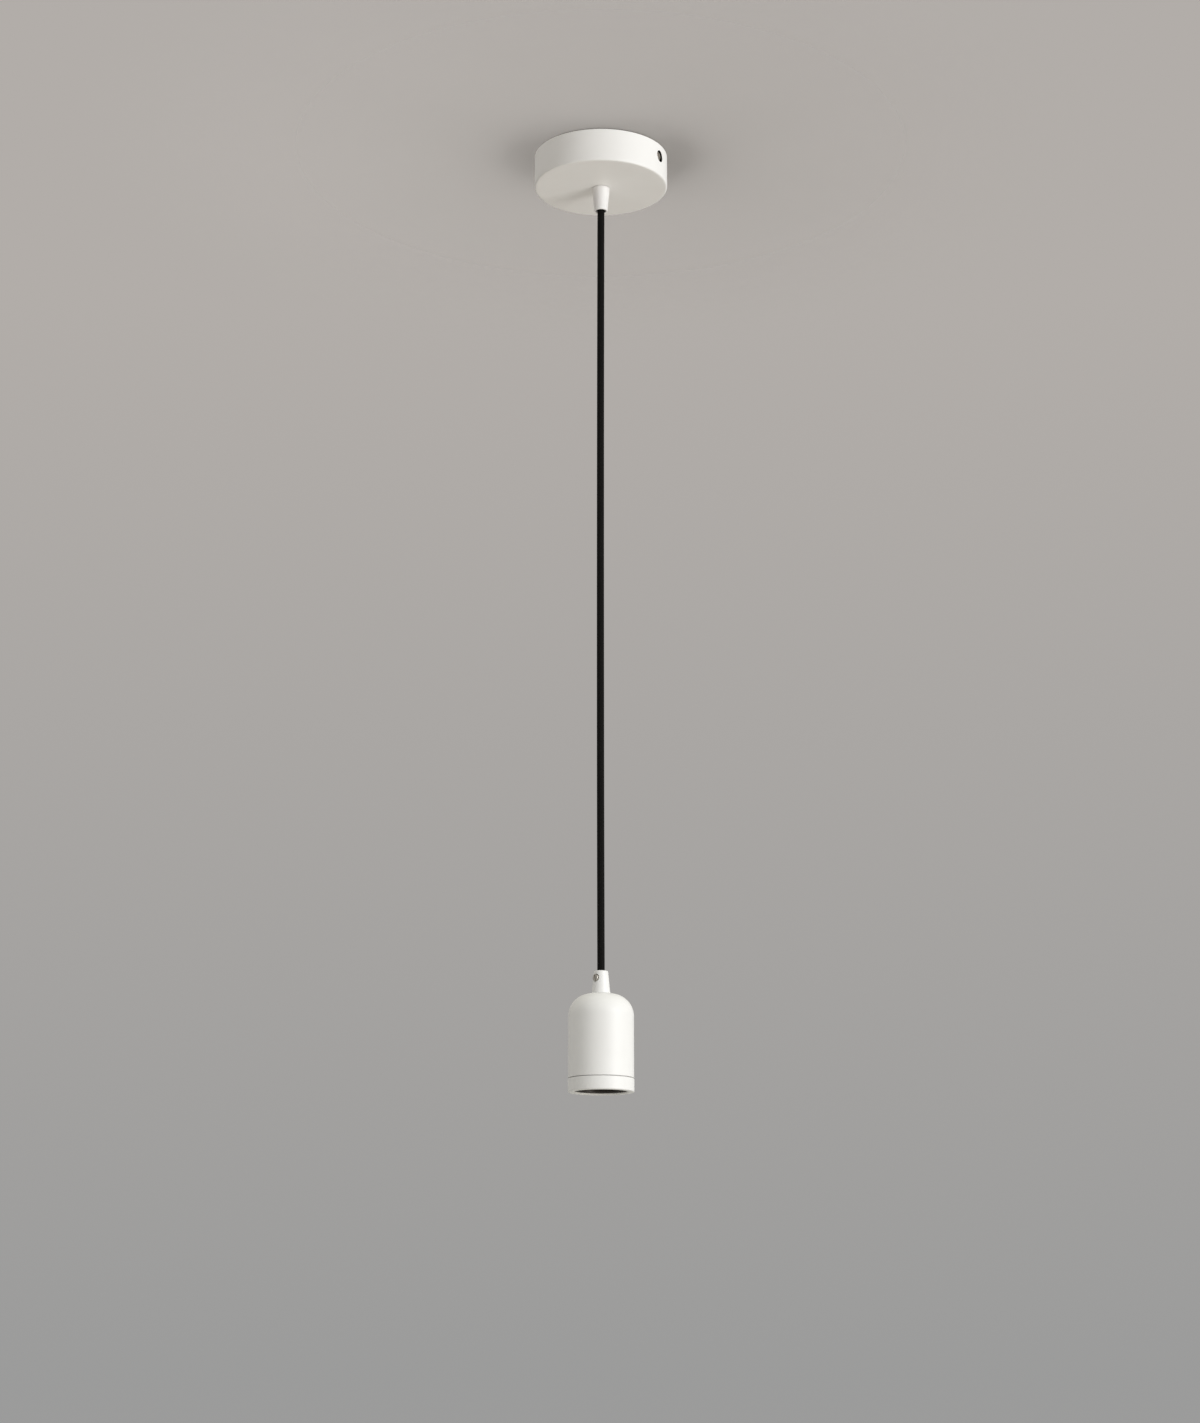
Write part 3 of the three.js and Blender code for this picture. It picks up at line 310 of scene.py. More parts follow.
def signed_area(outline):
    """Twice the area inside an outline, positive where it runs anticlockwise."""
    return sum(a[0] * b[1] - b[0] * a[1] for a, b in zip(outline, outline[1:] + outline[:1]))


def divided(outline, longest):
    """The same outline with its long edges cut into shorter ones."""
    out = []
    for i, a in enumerate(outline):
        b = outline[(i + 1) % len(outline)]
        parts = max(1, math.ceil(math.dist(a, b) / longest))
        for k in range(parts):
            out.append(tuple(a[j] + (b[j] - a[j]) * k / parts for j in range(2)))
    return out


def turned(outline, sides, wave=None):
    """Corners and faces of a piece turned round Z from a closed outline of (radius, height).

    wave(radius, height, angle) gives the radius of each corner, for threads and knurls.
    """
    if signed_area(outline) < 0:
        outline = outline[::-1]
    verts, rings = [], []
    for radius, height in outline:
        if radius < 1e-6:
            rings.append([len(verts)])
            verts.append((0, 0, height))
            continue
        rings.append(list(range(len(verts), len(verts) + sides)))
        for k in range(sides):
            angle = TAU * k / sides
            r = wave(radius, height, angle) if wave else radius
            verts.append((*polar(r, angle), height))
    faces = []
    for a, b in zip(rings, rings[1:] + rings[:1]):
        if len(a) == 1 and len(b) == 1:
            continue
        for k in range(sides):
            n = (k + 1) % sides
            if len(a) == 1:
                faces.append((a[0], b[n], b[k]))
            elif len(b) == 1:
                faces.append((a[k], a[n], b[0]))
            else:
                faces.append((a[k], a[n], b[n], b[k]))
    return verts, faces


def lathe(corners, steps, longest, sides, wave=None):
    """Turns rounded corners round Z; steps is for the roundings, longest for the edges."""
    return turned(divided(rounded(corners, steps), longest), sides, wave)


def helix(pitch, depth, low, high, outer, fade=0.6):
    """A right-handed thread of V grooves in a turned wall, with its crests at radius outer."""

    def wave(radius, height, angle):
        if abs(radius - outer) > 1e-6:
            return radius
        phase = (height / pitch - angle / TAU) % 1
        groove = 1 - abs(2 * phase - 1)
        ends = min(1, max(0, (height - low) / fade)) * min(1, max(0, (high - height) / fade))
        return radius - depth * min(1, 1.25 * groove) * ends

    return wave


def moved(verts, matrix):
    return [tuple(matrix @ Vector(v)) for v in verts]


def at(x, y, z):
    return Matrix.Translation((x, y, z))


def facing(direction, origin=(0, 0, 0), roll=0.0):
    """A matrix that turns +Z to direction and moves to origin, in millimetres."""
    turn = Vector((0, 0, 1)).rotation_difference(Vector(direction)).to_matrix().to_4x4()
    return Matrix.Translation(Vector(origin)) @ turn @ Matrix.Rotation(roll, 4, "Z")


def bar(radius, low, high, sides, matrix):
    verts, faces = turned([(0, low), (radius, low), (radius, high), (0, high)], sides)
    return solid(moved(verts, matrix), faces)


def box(low, high, matrix=Matrix.Identity(4)):
    corners = list(itertools.product(*zip(low, high)))
    faces = [(0, 1, 3, 2), (4, 6, 7, 5), (0, 4, 5, 1), (2, 3, 7, 6), (0, 2, 6, 4), (1, 5, 7, 3)]
    return solid(moved(corners, matrix), faces)


def carve(obj, tools, operation="DIFFERENCE", bevel=0.0):
    """Cuts obj with the tools, removes them and bevels the sharp edges."""
    for tool in tools:
        change = obj.modifiers.new("cut", "BOOLEAN")
        change.operation = operation
        change.solver = "EXACT"
        change.object = tool
    if bevel:
        soften(obj, bevel)
    bpy.context.view_layer.update()
    graph = bpy.context.evaluated_depsgraph_get()
    result = bpy.data.meshes.new_from_object(obj.evaluated_get(graph))
    old = obj.data
    result.name = old.name
    obj.modifiers.clear()
    obj.data = result
    bpy.data.meshes.remove(old)
    for tool in tools:
        bpy.data.meshes.remove(tool.data)
    cleaned = bmesh.new()
    cleaned.from_mesh(obj.data)
    bmesh.ops.remove_doubles(cleaned, verts=cleaned.verts, dist=1e-7)
    bmesh.ops.recalc_face_normals(cleaned, faces=cleaned.faces)
    cleaned.to_mesh(obj.data)
    cleaned.free()
    shade(obj)
    return obj


def soften(obj, width):
    edge = obj.modifiers.new("edge", "BEVEL")
    edge.width = width * MM
    edge.segments = 2
    edge.limit_method = "ANGLE"
    edge.angle_limit = math.radians(40)
    edge.use_clamp_overlap = True


def true_normals(obj, surface):
    """Gives the faces that lie on a known round surface that surface's own normals.

    surface(point in millimetres) returns a unit normal, or None off the surface.
    """
    mesh = obj.data
    normals = [Vector(n.vector) for n in mesh.corner_normals]
    for polygon in mesh.polygons:
        centre = surface(polygon.center / MM)
        if centre is None or centre.dot(polygon.normal) < 0.995:
            continue
        for loop in polygon.loop_indices:
            normal = surface(mesh.vertices[mesh.loops[loop].vertex_index].co / MM)
            if normal is not None:
                normals[loop] = normal
    mesh.normals_split_custom_set([tuple(n) for n in normals])


def tube(points, radius, sides, twist=0.0):
    """Corners, faces and UVs of a closed tube along a line of points."""
    points = [Vector(p) for p in points]
    along = [0.0]
    for a, b in zip(points, points[1:]):
        along.append(along[-1] + (b - a).length)
    verts, faces, uv = [], [], []
    normal = None
    for i, point in enumerate(points):
        ahead = (points[min(i + 1, len(points) - 1)] - points[max(i - 1, 0)]).normalized()
        side = normal if normal else Vector((1, 0, 0))
        if abs(side.dot(ahead)) > 0.95:
            side = Vector((0, 1, 0))
        normal = (side - ahead * side.dot(ahead)).normalized()
        other = ahead.cross(normal)
        for k in range(sides):
            angle = TAU * k / sides
            spoke = normal * math.cos(angle) + other * math.sin(angle)
            verts.append(tuple(point + spoke * radius))
    for i in range(len(points) - 1):
        for k in range(sides):
            n = (k + 1) % sides
            faces.append((i * sides + k, i * sides + n, (i + 1) * sides + n, (i + 1) * sides + k))
            for row, step in ((i, k), (i, k + 1), (i + 1, k + 1), (i + 1, k)):
                uv.append((along[row] * MM, step / sides + twist * along[row]))
    last = (len(points) - 1) * sides
    for ring, order in ((list(range(sides)), -1), (list(range(last, last + sides)), 1)):
        faces.append(tuple(ring[::order]))
        row = 0 if order < 0 else -1
        uv.extend((along[row] * MM, step / sides) for step in range(sides))
    return verts, faces, uv


# Materials


class Paint:
    """A small builder for the nodes of one material, or of the world."""

    def __init__(self, name, world=False):
        self.material = (bpy.data.worlds if world else bpy.data.materials).new(name)
        self.material.use_nodes = True
        self.tree = self.material.node_tree
        self.tree.nodes.clear()
        self.out = self.add("ShaderNodeOutputWorld" if world else "ShaderNodeOutputMaterial")
        self.place = self.add("ShaderNodeTexCoord").outputs["Generated" if world else "Object"]

    def add(self, kind, settings=None, **inputs):
        """A node with its settings. An input is named, or i0, i1, i2 for its place."""
        node = self.tree.nodes.new(kind)
        for key, value in (settings or {}).items():
            setattr(node, key, value)
        for key, value in inputs.items():
            by_place = key[0] == "i" and key[1:].isdigit()
            socket = int(key[1:]) if by_place else key.replace("_", " ")
            self.join(value, node.inputs[socket])
        return node

    def join(self, value, socket):
        if isinstance(value, bpy.types.NodeSocket):
            self.tree.links.new(value, socket)
        else:
            socket.default_value = value

    def noise(self, scale, detail, vector=None):
        vector = vector or self.place
        node = self.add("ShaderNodeTexNoise", Vector=vector, Scale=scale, Detail=detail)
        return node.outputs["Fac"]

    def math(self, operation, a, b=0.0, c=0.0):
        return self.add("ShaderNodeMath", {"operation": operation}, i0=a, i1=b, i2=c).outputs[0]

    def times(self, a, b):
        return self.math("MULTIPLY", a, b)

    def plus(self, a, b):
        return self.math("ADD", a, b)

    def ramp(self, value, low, high, a, b, kind="LINEAR"):
        """value from low to high becomes a number from a to b."""
        limits = {"From_Min": low, "From_Max": high, "To_Min": a, "To_Max": b}
        node = self.add("ShaderNodeMapRange", {"interpolation_type": kind}, Value=value, **limits)
        return node.outputs["Result"]

    def mix(self, fac, a, b):
        """Colour a where fac is 0 and b where it is 1."""
        node = self.add("ShaderNodeMix", {"data_type": "RGBA"}, i0=fac)
        self.join(a if isinstance(a, bpy.types.NodeSocket) else (*a, 1), node.inputs[6])
        self.join(b if isinstance(b, bpy.types.NodeSocket) else (*b, 1), node.inputs[7])
        return node.outputs[2]

    def blend(self, value, low, high, a, b):
        """Colour a where value is low and b where it is high."""
        return self.mix(self.ramp(value, low, high, 0, 1), a, b)

    def stretch(self, x, y, z):
        return self.add("ShaderNodeMapping", Vector=self.place, Scale=(x, y, z)).outputs[0]

    def split(self, vector):
        return self.add("ShaderNodeSeparateXYZ", Vector=vector).outputs

    def bump(self, height, depth, strength):
        node = self.add("ShaderNodeBump", Height=height, Distance=depth, Strength=strength)
        return node.outputs[0]

    def surface(self, colour, roughness, normal, **plain):
        plain |= {"Base_Color": colour, "Roughness": roughness, "Normal": normal}
        shader = self.add("ShaderNodeBsdfPrincipled", **plain)
        self.join(shader.outputs[0], self.out.inputs["Surface"])
        return self.material

    def shown(self, fac, hidden, seen):
        """The surface is the shader seen where fac is 1, and hidden where it is 0."""
        mix = self.add("ShaderNodeMixShader", i0=fac, i1=hidden.outputs[0], i2=seen.outputs[0])
        self.join(mix.outputs[0], self.out.inputs["Surface"])


def white_coat():
    """Matt powder coat: a fine orange peel, hardly any change of tone."""
    p = Paint("white_coat")
    tone = p.noise(30, 3)
    peel = p.noise(1700, 2)
    grain = p.noise(5200, 1)
    colour = p.blend(tone, 0.35, 0.65, (0.885, 0.878, 0.856), (0.905, 0.9, 0.88))
    rough = p.ramp(peel, 0.3, 0.7, 0.4, 0.5)
    height = p.math("MULTIPLY_ADD", grain, 0.35, peel)
    return p.surface(colour, rough, p.bump(height, 0.000012, 0.5), IOR=1.5)


def grained(name, tones, patches, grain, rough, bump, stretch=None, **plain):
    """Soft patches of tone, and a fine grain in the gloss and the height."""
    p = Paint(name)
    fine = p.noise(*grain, stretch and p.stretch(*stretch))
    colour = p.blend(p.noise(*patches), 0.35, 0.65, *tones)
    return p.surface(colour, p.ramp(fine, 0.3, 0.7, *rough), p.bump(fine, *bump), **plain)


def metal(name, light, dark, rough, stretch, scale, depth, patina=None):
    """A metal with fine lines along its working direction and soft spots of tone."""
    p = Paint(name)
    lines = p.noise(scale, 3, p.stretch(*stretch))
    spots = p.noise(260, 3)
    colour = p.blend(spots, 0.35, 0.7, light, dark)
    if patina:
        colour = p.mix(p.ramp(p.noise(900, 4), 0.55, 0.75, 0, 0.5), colour, patina)
    sheen = p.ramp(lines, 0.3, 0.7, rough - 0.07, rough + 0.07)
    roughness = p.plus(sheen, p.ramp(spots, 0.4, 0.7, 0, 0.06))
    return p.surface(colour, roughness, p.bump(lines, depth, 0.35), Metallic=1.0)


def phenolic():
    """Dark phenolic resin with flow lines and pale specks of filler."""
    p = Paint("dark_phenolic")
    flow = p.noise(180, 5, p.stretch(1, 1, 0.35))
    speck = p.noise(2600, 2)
    colour = p.blend(flow, 0.35, 0.7, (0.02, 0.0155, 0.0115), (0.036, 0.027, 0.02))
    colour = p.mix(p.ramp(speck, 0.62, 0.75, 0, 0.35), colour, (0.075, 0.06, 0.045))
    rough = p.ramp(flow, 0.3, 0.7, 0.3, 0.42)
    return p.surface(colour, rough, p.bump(speck, 0.00001, 0.25), IOR=1.55)


def core_plastic(name, colour, stripe=None):
    """Extruded insulation: fine lines along the core, and a stripe where it has one."""
    p = Paint(name)
    along, around, _ = p.split(p.add("ShaderNodeTexCoord").outputs["UV"])
    grid = p.add("ShaderNodeCombineXYZ", X=p.times(along, 90), Y=p.times(around, 26))
    lines = p.noise(1, 2, grid.outputs[0])
    tone = p.blend(lines, 0.3, 0.7, colour, tuple(c * 0.82 for c in colour))
    if stripe:
        half_turn = p.math("FRACT", p.times(around, 2))
        side = p.math("ABSOLUTE", p.math("SUBTRACT", half_turn, 0.5))
        tone = p.blend(side, 0.2, 0.23, tone, stripe)
    return p.surface(tone, p.ramp(lines, 0.3, 0.7, 0.38, 0.5), p.bump(lines, 0.00002, 0.3))


BRAID_LAY = 0.0165
BRAID_BUNDLES = 12


def braid():
    """A braided black textile jacket: two families of yarn bundles that pass over each other."""
    p = Paint("cord_textile")
    along, around, _ = p.split(p.add("ShaderNodeTexCoord").outputs["UV"])
    along = p.times(along, 1 / BRAID_LAY)
    one = p.times(p.plus(around, along), BRAID_BUNDLES)
    two = p.times(p.math("SUBTRACT", around, along), BRAID_BUNDLES)

    def crown(phase):
        """The round back of a bundle."""
        centred = p.math("SUBTRACT", p.times(p.math("FRACT", phase), 2), 1)
        square = p.math("SUBTRACT", 1.02, p.times(centred, centred))
        return p.math("SQRT", p.math("MAXIMUM", square, 0))

    def bundle(phase, other, shift):
        """A bundle that swings over and under the bundles that it crosses."""
        swing = p.times(p.plus(other, p.math("FLOOR", phase)), math.pi)
        over = p.math("SINE", p.plus(swing, shift))
        return p.plus(p.times(crown(phase), 0.5), p.times(over, 0.32))

    def yarns(phase):
        return p.math("ABSOLUTE", p.math("SINE", p.times(phase, 4 * math.pi)))

    first = bundle(one, two, 0)
    second = bundle(two, one, math.pi / 2)
    top = p.math("GREATER_THAN", first, second)
    hidden = p.times(p.math("SUBTRACT", 1, top), yarns(two))
    yarn = p.plus(p.times(top, yarns(one)), hidden)
    height = p.plus(p.math("MAXIMUM", first, second), p.times(yarn, 0.16))
    fibre = p.noise(6500, 3)
    height = p.plus(height, p.times(fibre, 0.2))
    # Painted shade and painted highlight: the colour follows the height, darker in the valleys
    # between bundles and yarns and lighter on their crowns; the fibre noise in the height adds
    # random tone.
    colour = p.blend(height, 0.2, 1.05, (0.0012, 0.0011, 0.001), (0.0062, 0.0055, 0.0048))
    colour = p.mix(p.ramp(p.noise(150, 2), 0.4, 0.7, 0, 0.4), colour, (0.0036, 0.0033, 0.003))
    return p.surface(
        colour, p.ramp(fibre, 0.3, 0.7, 0.62, 0.8), p.bump(height, 0.00025, 0.8),
        Specular_IOR_Level=0.12, Sheen_Weight=0.02, Sheen_Roughness=0.45,
        Sheen_Tint=(0.75, 0.7, 0.65, 1),
    )


GRIP_TONES = ((0.88, 0.874, 0.858), (0.9, 0.895, 0.882))
NICKEL_TONES = ((0.7, 0.67, 0.61), (0.58, 0.55, 0.5))
ZINC_TONES = ((0.56, 0.57, 0.57), (0.46, 0.475, 0.48))
BRASS_TONES = ((0.72, 0.5, 0.2), (0.6, 0.4, 0.15))
BLOCK_TONES = ((0.8, 0.78, 0.7), (0.74, 0.72, 0.65))
PATINA = (0.3, 0.2, 0.1)
EARTH_GREEN, EARTH_YELLOW = (0.1, 0.3, 0.03), (0.72, 0.6, 0.03)
FINISH = {
    "white_coat": white_coat(),
    "white_grip": grained(
        "white_grip", GRIP_TONES, (60, 2), (4200, 2), (0.34, 0.42), (0.000006, 0.4), IOR=1.48
    ),
    "zinc_steel": metal("zinc_steel", *ZINC_TONES, 0.34, (1, 0.12, 1), 2400, 0.000005),
    "nickel_screw": grained(
        "nickel_screw", NICKEL_TONES, (420, 2), (9000, 2), (0.22, 0.36), (0.000004, 0.3),
        (0.25, 0.25, 1), Metallic=1.0,
    ),
    "brass": metal("brass", *BRASS_TONES, 0.3, (1, 1, 0.2), 1800, 0.000005, PATINA),
    "dark_phenolic": phenolic(),
    "terminal_plastic": grained(
        "terminal_plastic", BLOCK_TONES, (120, 3), (3300, 2), (0.37, 0.47), (0.00001, 0.3)
    ),
    "core_brown": core_plastic("core_brown", (0.095, 0.042, 0.018)),
    "core_blue": core_plastic("core_blue", (0.028, 0.12, 0.36)),
    "core_earth": core_plastic("core_earth", EARTH_GREEN, EARTH_YELLOW),
    "cord_textile": braid(),
}


# The cord follows the same points as its CAD solid: x, y and the share of its length

CORD_ROUTE = [
    (0, 0, 0), (0, 0, 0.025), (0, 0, 0.05), (-0.04, -0.02, 0.08),
    (-0.1, -0.05, 0.13), (-0.18, -0.09, 0.19), (-0.25, -0.12, 0.26), (-0.3, -0.14, 0.34),
    (-0.33, -0.16, 0.42), (-0.35, -0.17, 0.5), (-0.34, -0.17, 0.58), (-0.32, -0.15, 0.66),
    (-0.27, -0.13, 0.74), (-0.2, -0.1, 0.81), (-0.12, -0.06, 0.87), (-0.05, -0.02, 0.92),
    (0, 0, 0.95), (0, 0, 0.975), (0, 0, 1),
]


def between(a, b, low, high, t):
    """The point at t on a line that is at a for low and at b for high."""
    return a * ((high - t) / (high - low)) + b * ((t - low) / (high - low))


def through(points, step):
    """A smooth line through the points, with a corner about every step millimetres.

    It is a centripetal Catmull-Rom curve.
    """
    points = [Vector(p) for p in points]
    padded = [2 * points[0] - points[1], *points, 2 * points[-1] - points[-2]]
    out = []
    for a, b, c, d in zip(padded, padded[1:], padded[2:], padded[3:]):
        t0 = 0.0
        t1 = t0 + (b - a).length ** 0.5
        t2 = t1 + (c - b).length ** 0.5
        t3 = t2 + (d - c).length ** 0.5
        parts = max(1, round((c - b).length / step))
        for k in range(parts):
            t = t1 + (t2 - t1) * k / parts
            bc = between(b, c, t1, t2, t)
            left = between(between(a, b, t0, t1, t), bc, t0, t2, t)
            right = between(bc, between(c, d, t2, t3, t), t1, t3, t)
            out.append(between(left, right, t1, t2, t))
    out.append(points[-1])
    return out


cord_length = CORD_TOP - CORD_END
cord_points = [(x, y, CORD_TOP - share * cord_length) for x, y, share in CORD_ROUTE]
cord_line = through(cord_points, 2.0)
verts, faces, uv = tube(cord_line, CORD_R, 32)
cord = piece("textile_cord", verts, faces, "cord", "cord_textile", uv=uv)


# Ceiling side


def flared_tool(radius, lip, surface_depth, matrix, rim=None, relief=0.0):
    """A round cutter whose mouth flares where it meets a curved wall.

    surface_depth(u, v) is the height of the wall's face along the cutter's axis. Where rim is
    given, the wall behind a rim of that depth is wider by relief.
    """
    steps, flare = 5, math.radians(75)
    inner, outer, near = -8.0, 6.0, 5.0
    rows = [(0, inner), (radius + relief, inner), (radius + relief, inner / 2), (radius, -lip)]
    if rim:
        rows[3:3] = [(radius + relief, -CANOPY_WALL - 0.05), (radius, -rim)]
    for k in range(1, steps + 1):
        angle = flare * k / steps
        rows.append((radius + lip * (1 - math.cos(angle)), -lip + lip * math.sin(angle)))
    last = rows[-1]
    rows.append((last[0] + 0.2, last[1] + 0.0536 + lip * (1 - math.sin(flare))))
    rows += [(last[0] + 0.4, outer), (0, outer)]
    verts, faces = turned(rows, 64)
    for i, (u, v, height) in enumerate(verts):
        if abs(height) < near:
            verts[i] = (u, v, height + surface_depth(u, v))
    return solid(moved(verts, matrix), faces)


def canopy_cup():
    corners = [
        (TUBE_R + SEAT, -CANOPY_H, 0.25), (CANOPY_R, -CANOPY_H, CANOPY_EDGE),
        (CANOPY_R, 0, 0.2), (CANOPY_R - CANOPY_WALL, 0, 0.2),
        (CANOPY_R - CANOPY_WALL, CANOPY_FLOOR, CANOPY_EDGE - CANOPY_WALL),
        (TUBE_R + SEAT, CANOPY_FLOOR, 0.25),
    ]
    shape = lathe(corners, 6, 2.5, 192)
    cup = piece("canopy_cup_coated", *shape, "canopy_cup", "white_coat")
    tools = []
    for side in (1, -1):
        place = facing((side, 0, 0), (side * CANOPY_R, 0, SIDE_HOLE_Z))

        def wall(u, v, place=place):
            y = (place.to_3x3() @ Vector((u, v, 0))).y
            return math.sqrt(CANOPY_R**2 - y * y) - CANOPY_R

        hole = (SIDE_HOLE_R, SIDE_HOLE_FLARE, wall, place, SIDE_HOLE_RIM, SIDE_HOLE_RELIEF)
        tools.append(flared_tool(*hole))
    carve(cup, tools)

    def surface(point):
        flat = Vector((point.x, point.y, 0))
        upright = CANOPY_EDGE + 0.02 < point.z + CANOPY_H < CANOPY_H - 0.25
        return flat.normalized() if upright and abs(flat.length - CANOPY_R) < 0.03 else None

    true_normals(cup, surface)


def screw(node, place, corners, sides, wave, pitch, radius, slot):
    """A screw along place's +Z. Its corners begin in the middle of its slotted end.

    radius is that of the slotted end.
    """
    verts, faces = lathe(corners, 4, pitch / 6, sides, wave)
    body = piece(f"{node}_turned", moved(verts, place), faces, node, slot, 35)
    top, half, reach = corners[0][1], SLOT_RATIO * radius, radius + 1
    low = (-reach, -half, top - SLOT_DEPTH_RATIO * radius)
    carve(body, [box(low, (reach, half, top + 1), place)])


def slotted(node, place, head_r, head_l, shank_r, shank_l, slot, edge=0.3):
    """A slotted screw along place's +Z: head above 0, threaded shank below."""
    pitch = COARSE_PITCH[shank_r]
    corners = [(0, head_l), (head_r, head_l, edge), (head_r, 0, 0.12), (shank_r, 0, 0.1)]
    corners += [(shank_r, -shank_l, 0.3), (0, -shank_l)]
    wave = helix(pitch, 0.55 * pitch, -shank_l + 0.2, -0.4, shank_r)
    screw(node, place, corners, 40, wave, pitch, head_r, slot)


def set_screw(node, place, radius, length, slot):
    """A headless slotted screw along place's +Z, from 0 to its slotted end."""
    pitch = COARSE_PITCH[radius]
    edge = 0.12 * radius
    corners = [(0, length), (radius, length, edge), (radius, 0, edge), (0, 0)]
    wave = helix(pitch, 0.5 * pitch, 0.3, length - 1.0, radius, 0.3)
    screw(node, place, corners, 48, wave, pitch, radius, slot)


def threaded_tube(node, low, high):
    corners = [(BORE_R, low, 0.2), (TUBE_R, low, 0.45), (TUBE_R, high, 0.45), (BORE_R, high, 0.2)]
    wave = helix(TUBE_PITCH, 0.55 * TUBE_PITCH, low + 0.2, high - 0.2, TUBE_R)
    piece(f"{node}_cut", *lathe(corners, 3, 0.17, 48, wave), node, "zinc_steel", 40)


def nut(node, low):
    """A hexagon nut whose corners are turned off at both ends."""
    corner = NUT_FLAT / math.cos(math.pi / 6)
    high = low + NUT_THICK
    bore = TUBE_R + SEAT
    end = [(bore, 0.4), (bore + 0.4, 0), (NUT_FLAT - 0.1, 0), (corner + 0.1, 0.62)]
    outline = [(radius, low + rise) for radius, rise in end]
    outline += [(radius, high - rise) for radius, rise in end[::-1]]
    body = piece(f"{node}_cut", *turned(outline, 96), node, "zinc_steel", 25)
    hexagon = [polar(corner, TAU * k / 6) for k in range(6)]
    carve(body, [solid(*prism(hexagon, low - 1, high + 1))], "INTERSECT")


def grip(end, foot, up, screw_angle):
    """A cord grip with its foot at height foot; up is 1 or -1."""
    tip = GRIP_LENGTH[end]
    screw_z = tip - GRIP_SCREW_DROP
    place = at(0, 0, foot) @ Matrix.Rotation(screw_angle, 4, "Z")
    if up < 0:
        place = place @ Matrix.Rotation(math.pi, 4, "X")
    foot_r = GRIP_FOOT_R - GRIP_FOOT_STEP
    foot_z = GRIP_FOOT_HEIGHT + GRIP_FOOT_STEP
    slope = (foot_r - GRIP_TIP_R) / (tip - foot_z)
    corners = [
        (TUBE_R + SEAT, 0, 0.2), (GRIP_FOOT_R, 0, 0.2), (GRIP_FOOT_R, GRIP_FOOT_HEIGHT, 0.07),
        (foot_r, GRIP_FOOT_HEIGHT + 0.02), (foot_r, foot_z),
        (GRIP_TIP_R, tip, GRIP_TIP_ROUNDING), (BORE_R, tip, GRIP_MOUTH_ROUNDING),
        (BORE_R, GRIP_THREAD, 0.1), (TUBE_R + SEAT, GRIP_THREAD, 0.1),
    ]
    verts, faces = lathe(corners, 6, 0.7, 112)
    body = piece(f"{end}_grip_moulded", moved(verts, place), faces, f"{end}_grip", "white_grip")

    def cone(height):
        return foot_r - slope * (height - foot_z)

    axis_r = cone(screw_z)
    outwards = Matrix.Rotation(math.pi / 2, 4, "Y")
    aim = place @ (at(axis_r, 0, screw_z) @ outwards)

    def wall(u, v):
        return math.sqrt(max(0, cone(screw_z - u) ** 2 - v * v)) - axis_r

    hole = flared_tool(GRIP_SCREW_R + SEAT, GRIP_HOLE_FLARE, wall, aim)
    shorten(hole, place, 2.0)
    carve(body, [hole])
    back = place.inverted()
    turn = place.to_3x3()
    cone_top = tip - GRIP_TIP_ROUNDING - 0.05

    def surface(point):
        local = back @ point
        radius = math.hypot(local.x, local.y)
        if foot_z + 0.05 < local.z < cone_top and abs(radius - cone(local.z)) < 0.03:
            return (turn @ Vector((local.x / radius, local.y / radius, slope))).normalized()
        return None

    true_normals(body, surface)
    start = CORD_R + SEAT
    length = axis_r + GRIP_SCREW_PROUD - start
    seat = place @ at(start, 0, screw_z) @ outwards
    seat = seat @ Matrix.Rotation(GRIP_SLOT_TURN, 4, "Z")
    set_screw(f"{end}_grip_screw", seat, GRIP_SCREW_R, length, "nickel_screw")


def shorten(tool, place, least):
    """Pulls the inner end of a cutter out to the distance least from the grip's axis."""
    back = place.inverted()
    for vertex in tool.data.vertices:
        local = back @ (vertex.co / MM)
        if local.x < least:
            local.x = least
            vertex.co = (place @ local) * MM


def strip(line, thickness, width, bend):
    """A sheet strip bent along a line of (u, z), thickness on the left, width centred.

    bend is the inside radius of its bends.
    """
    points = [Vector(p) for p in line]

    def left(a, b):
        d = (b - a).normalized()
        return Vector((-d.y, d.x))

    near, far = [], []
    for i, point in enumerate(points):
        before = left(points[i - 1], point) if i else left(point, points[1])
        after = left(point, points[i + 1]) if i < len(points) - 1 else before
        offset = point + (before + after) * (thickness / (1 + before.dot(after)))
        turn = before.x * after.y - before.y * after.x
        straight = abs(turn) < 1e-9
        near.append((*point, 0 if straight else bend + (thickness if turn > 0 else 0)))
        far.insert(0, (*offset, 0 if straight else bend + (0 if turn > 0 else thickness)))
    outline = rounded(near + far, 6)
    if signed_area(outline) < 0:
        outline = outline[::-1]
    count = len(outline)
    verts = [(u, side * width / 2, z) for side in (-1, 1) for u, z in outline]
    faces = [tuple(range(count)), tuple(range(2 * count - 1, count - 1, -1))]
    faces += [(k, count + k, count + (k + 1) % count, (k + 1) % count) for k in range(count)]
    return verts, faces


def prism(outline, low, high):
    """Corners and faces of a flat outline, counted anticlockwise, pulled from low to high."""
    count = len(outline)
    verts = [(x, y, z) for z in (low, high) for x, y in outline]
    faces = [tuple(range(count - 1, -1, -1)), tuple(range(count, 2 * count))]
    faces += [(k, (k + 1) % count, count + (k + 1) % count, count + k) for k in range(count)]
    return verts, faces


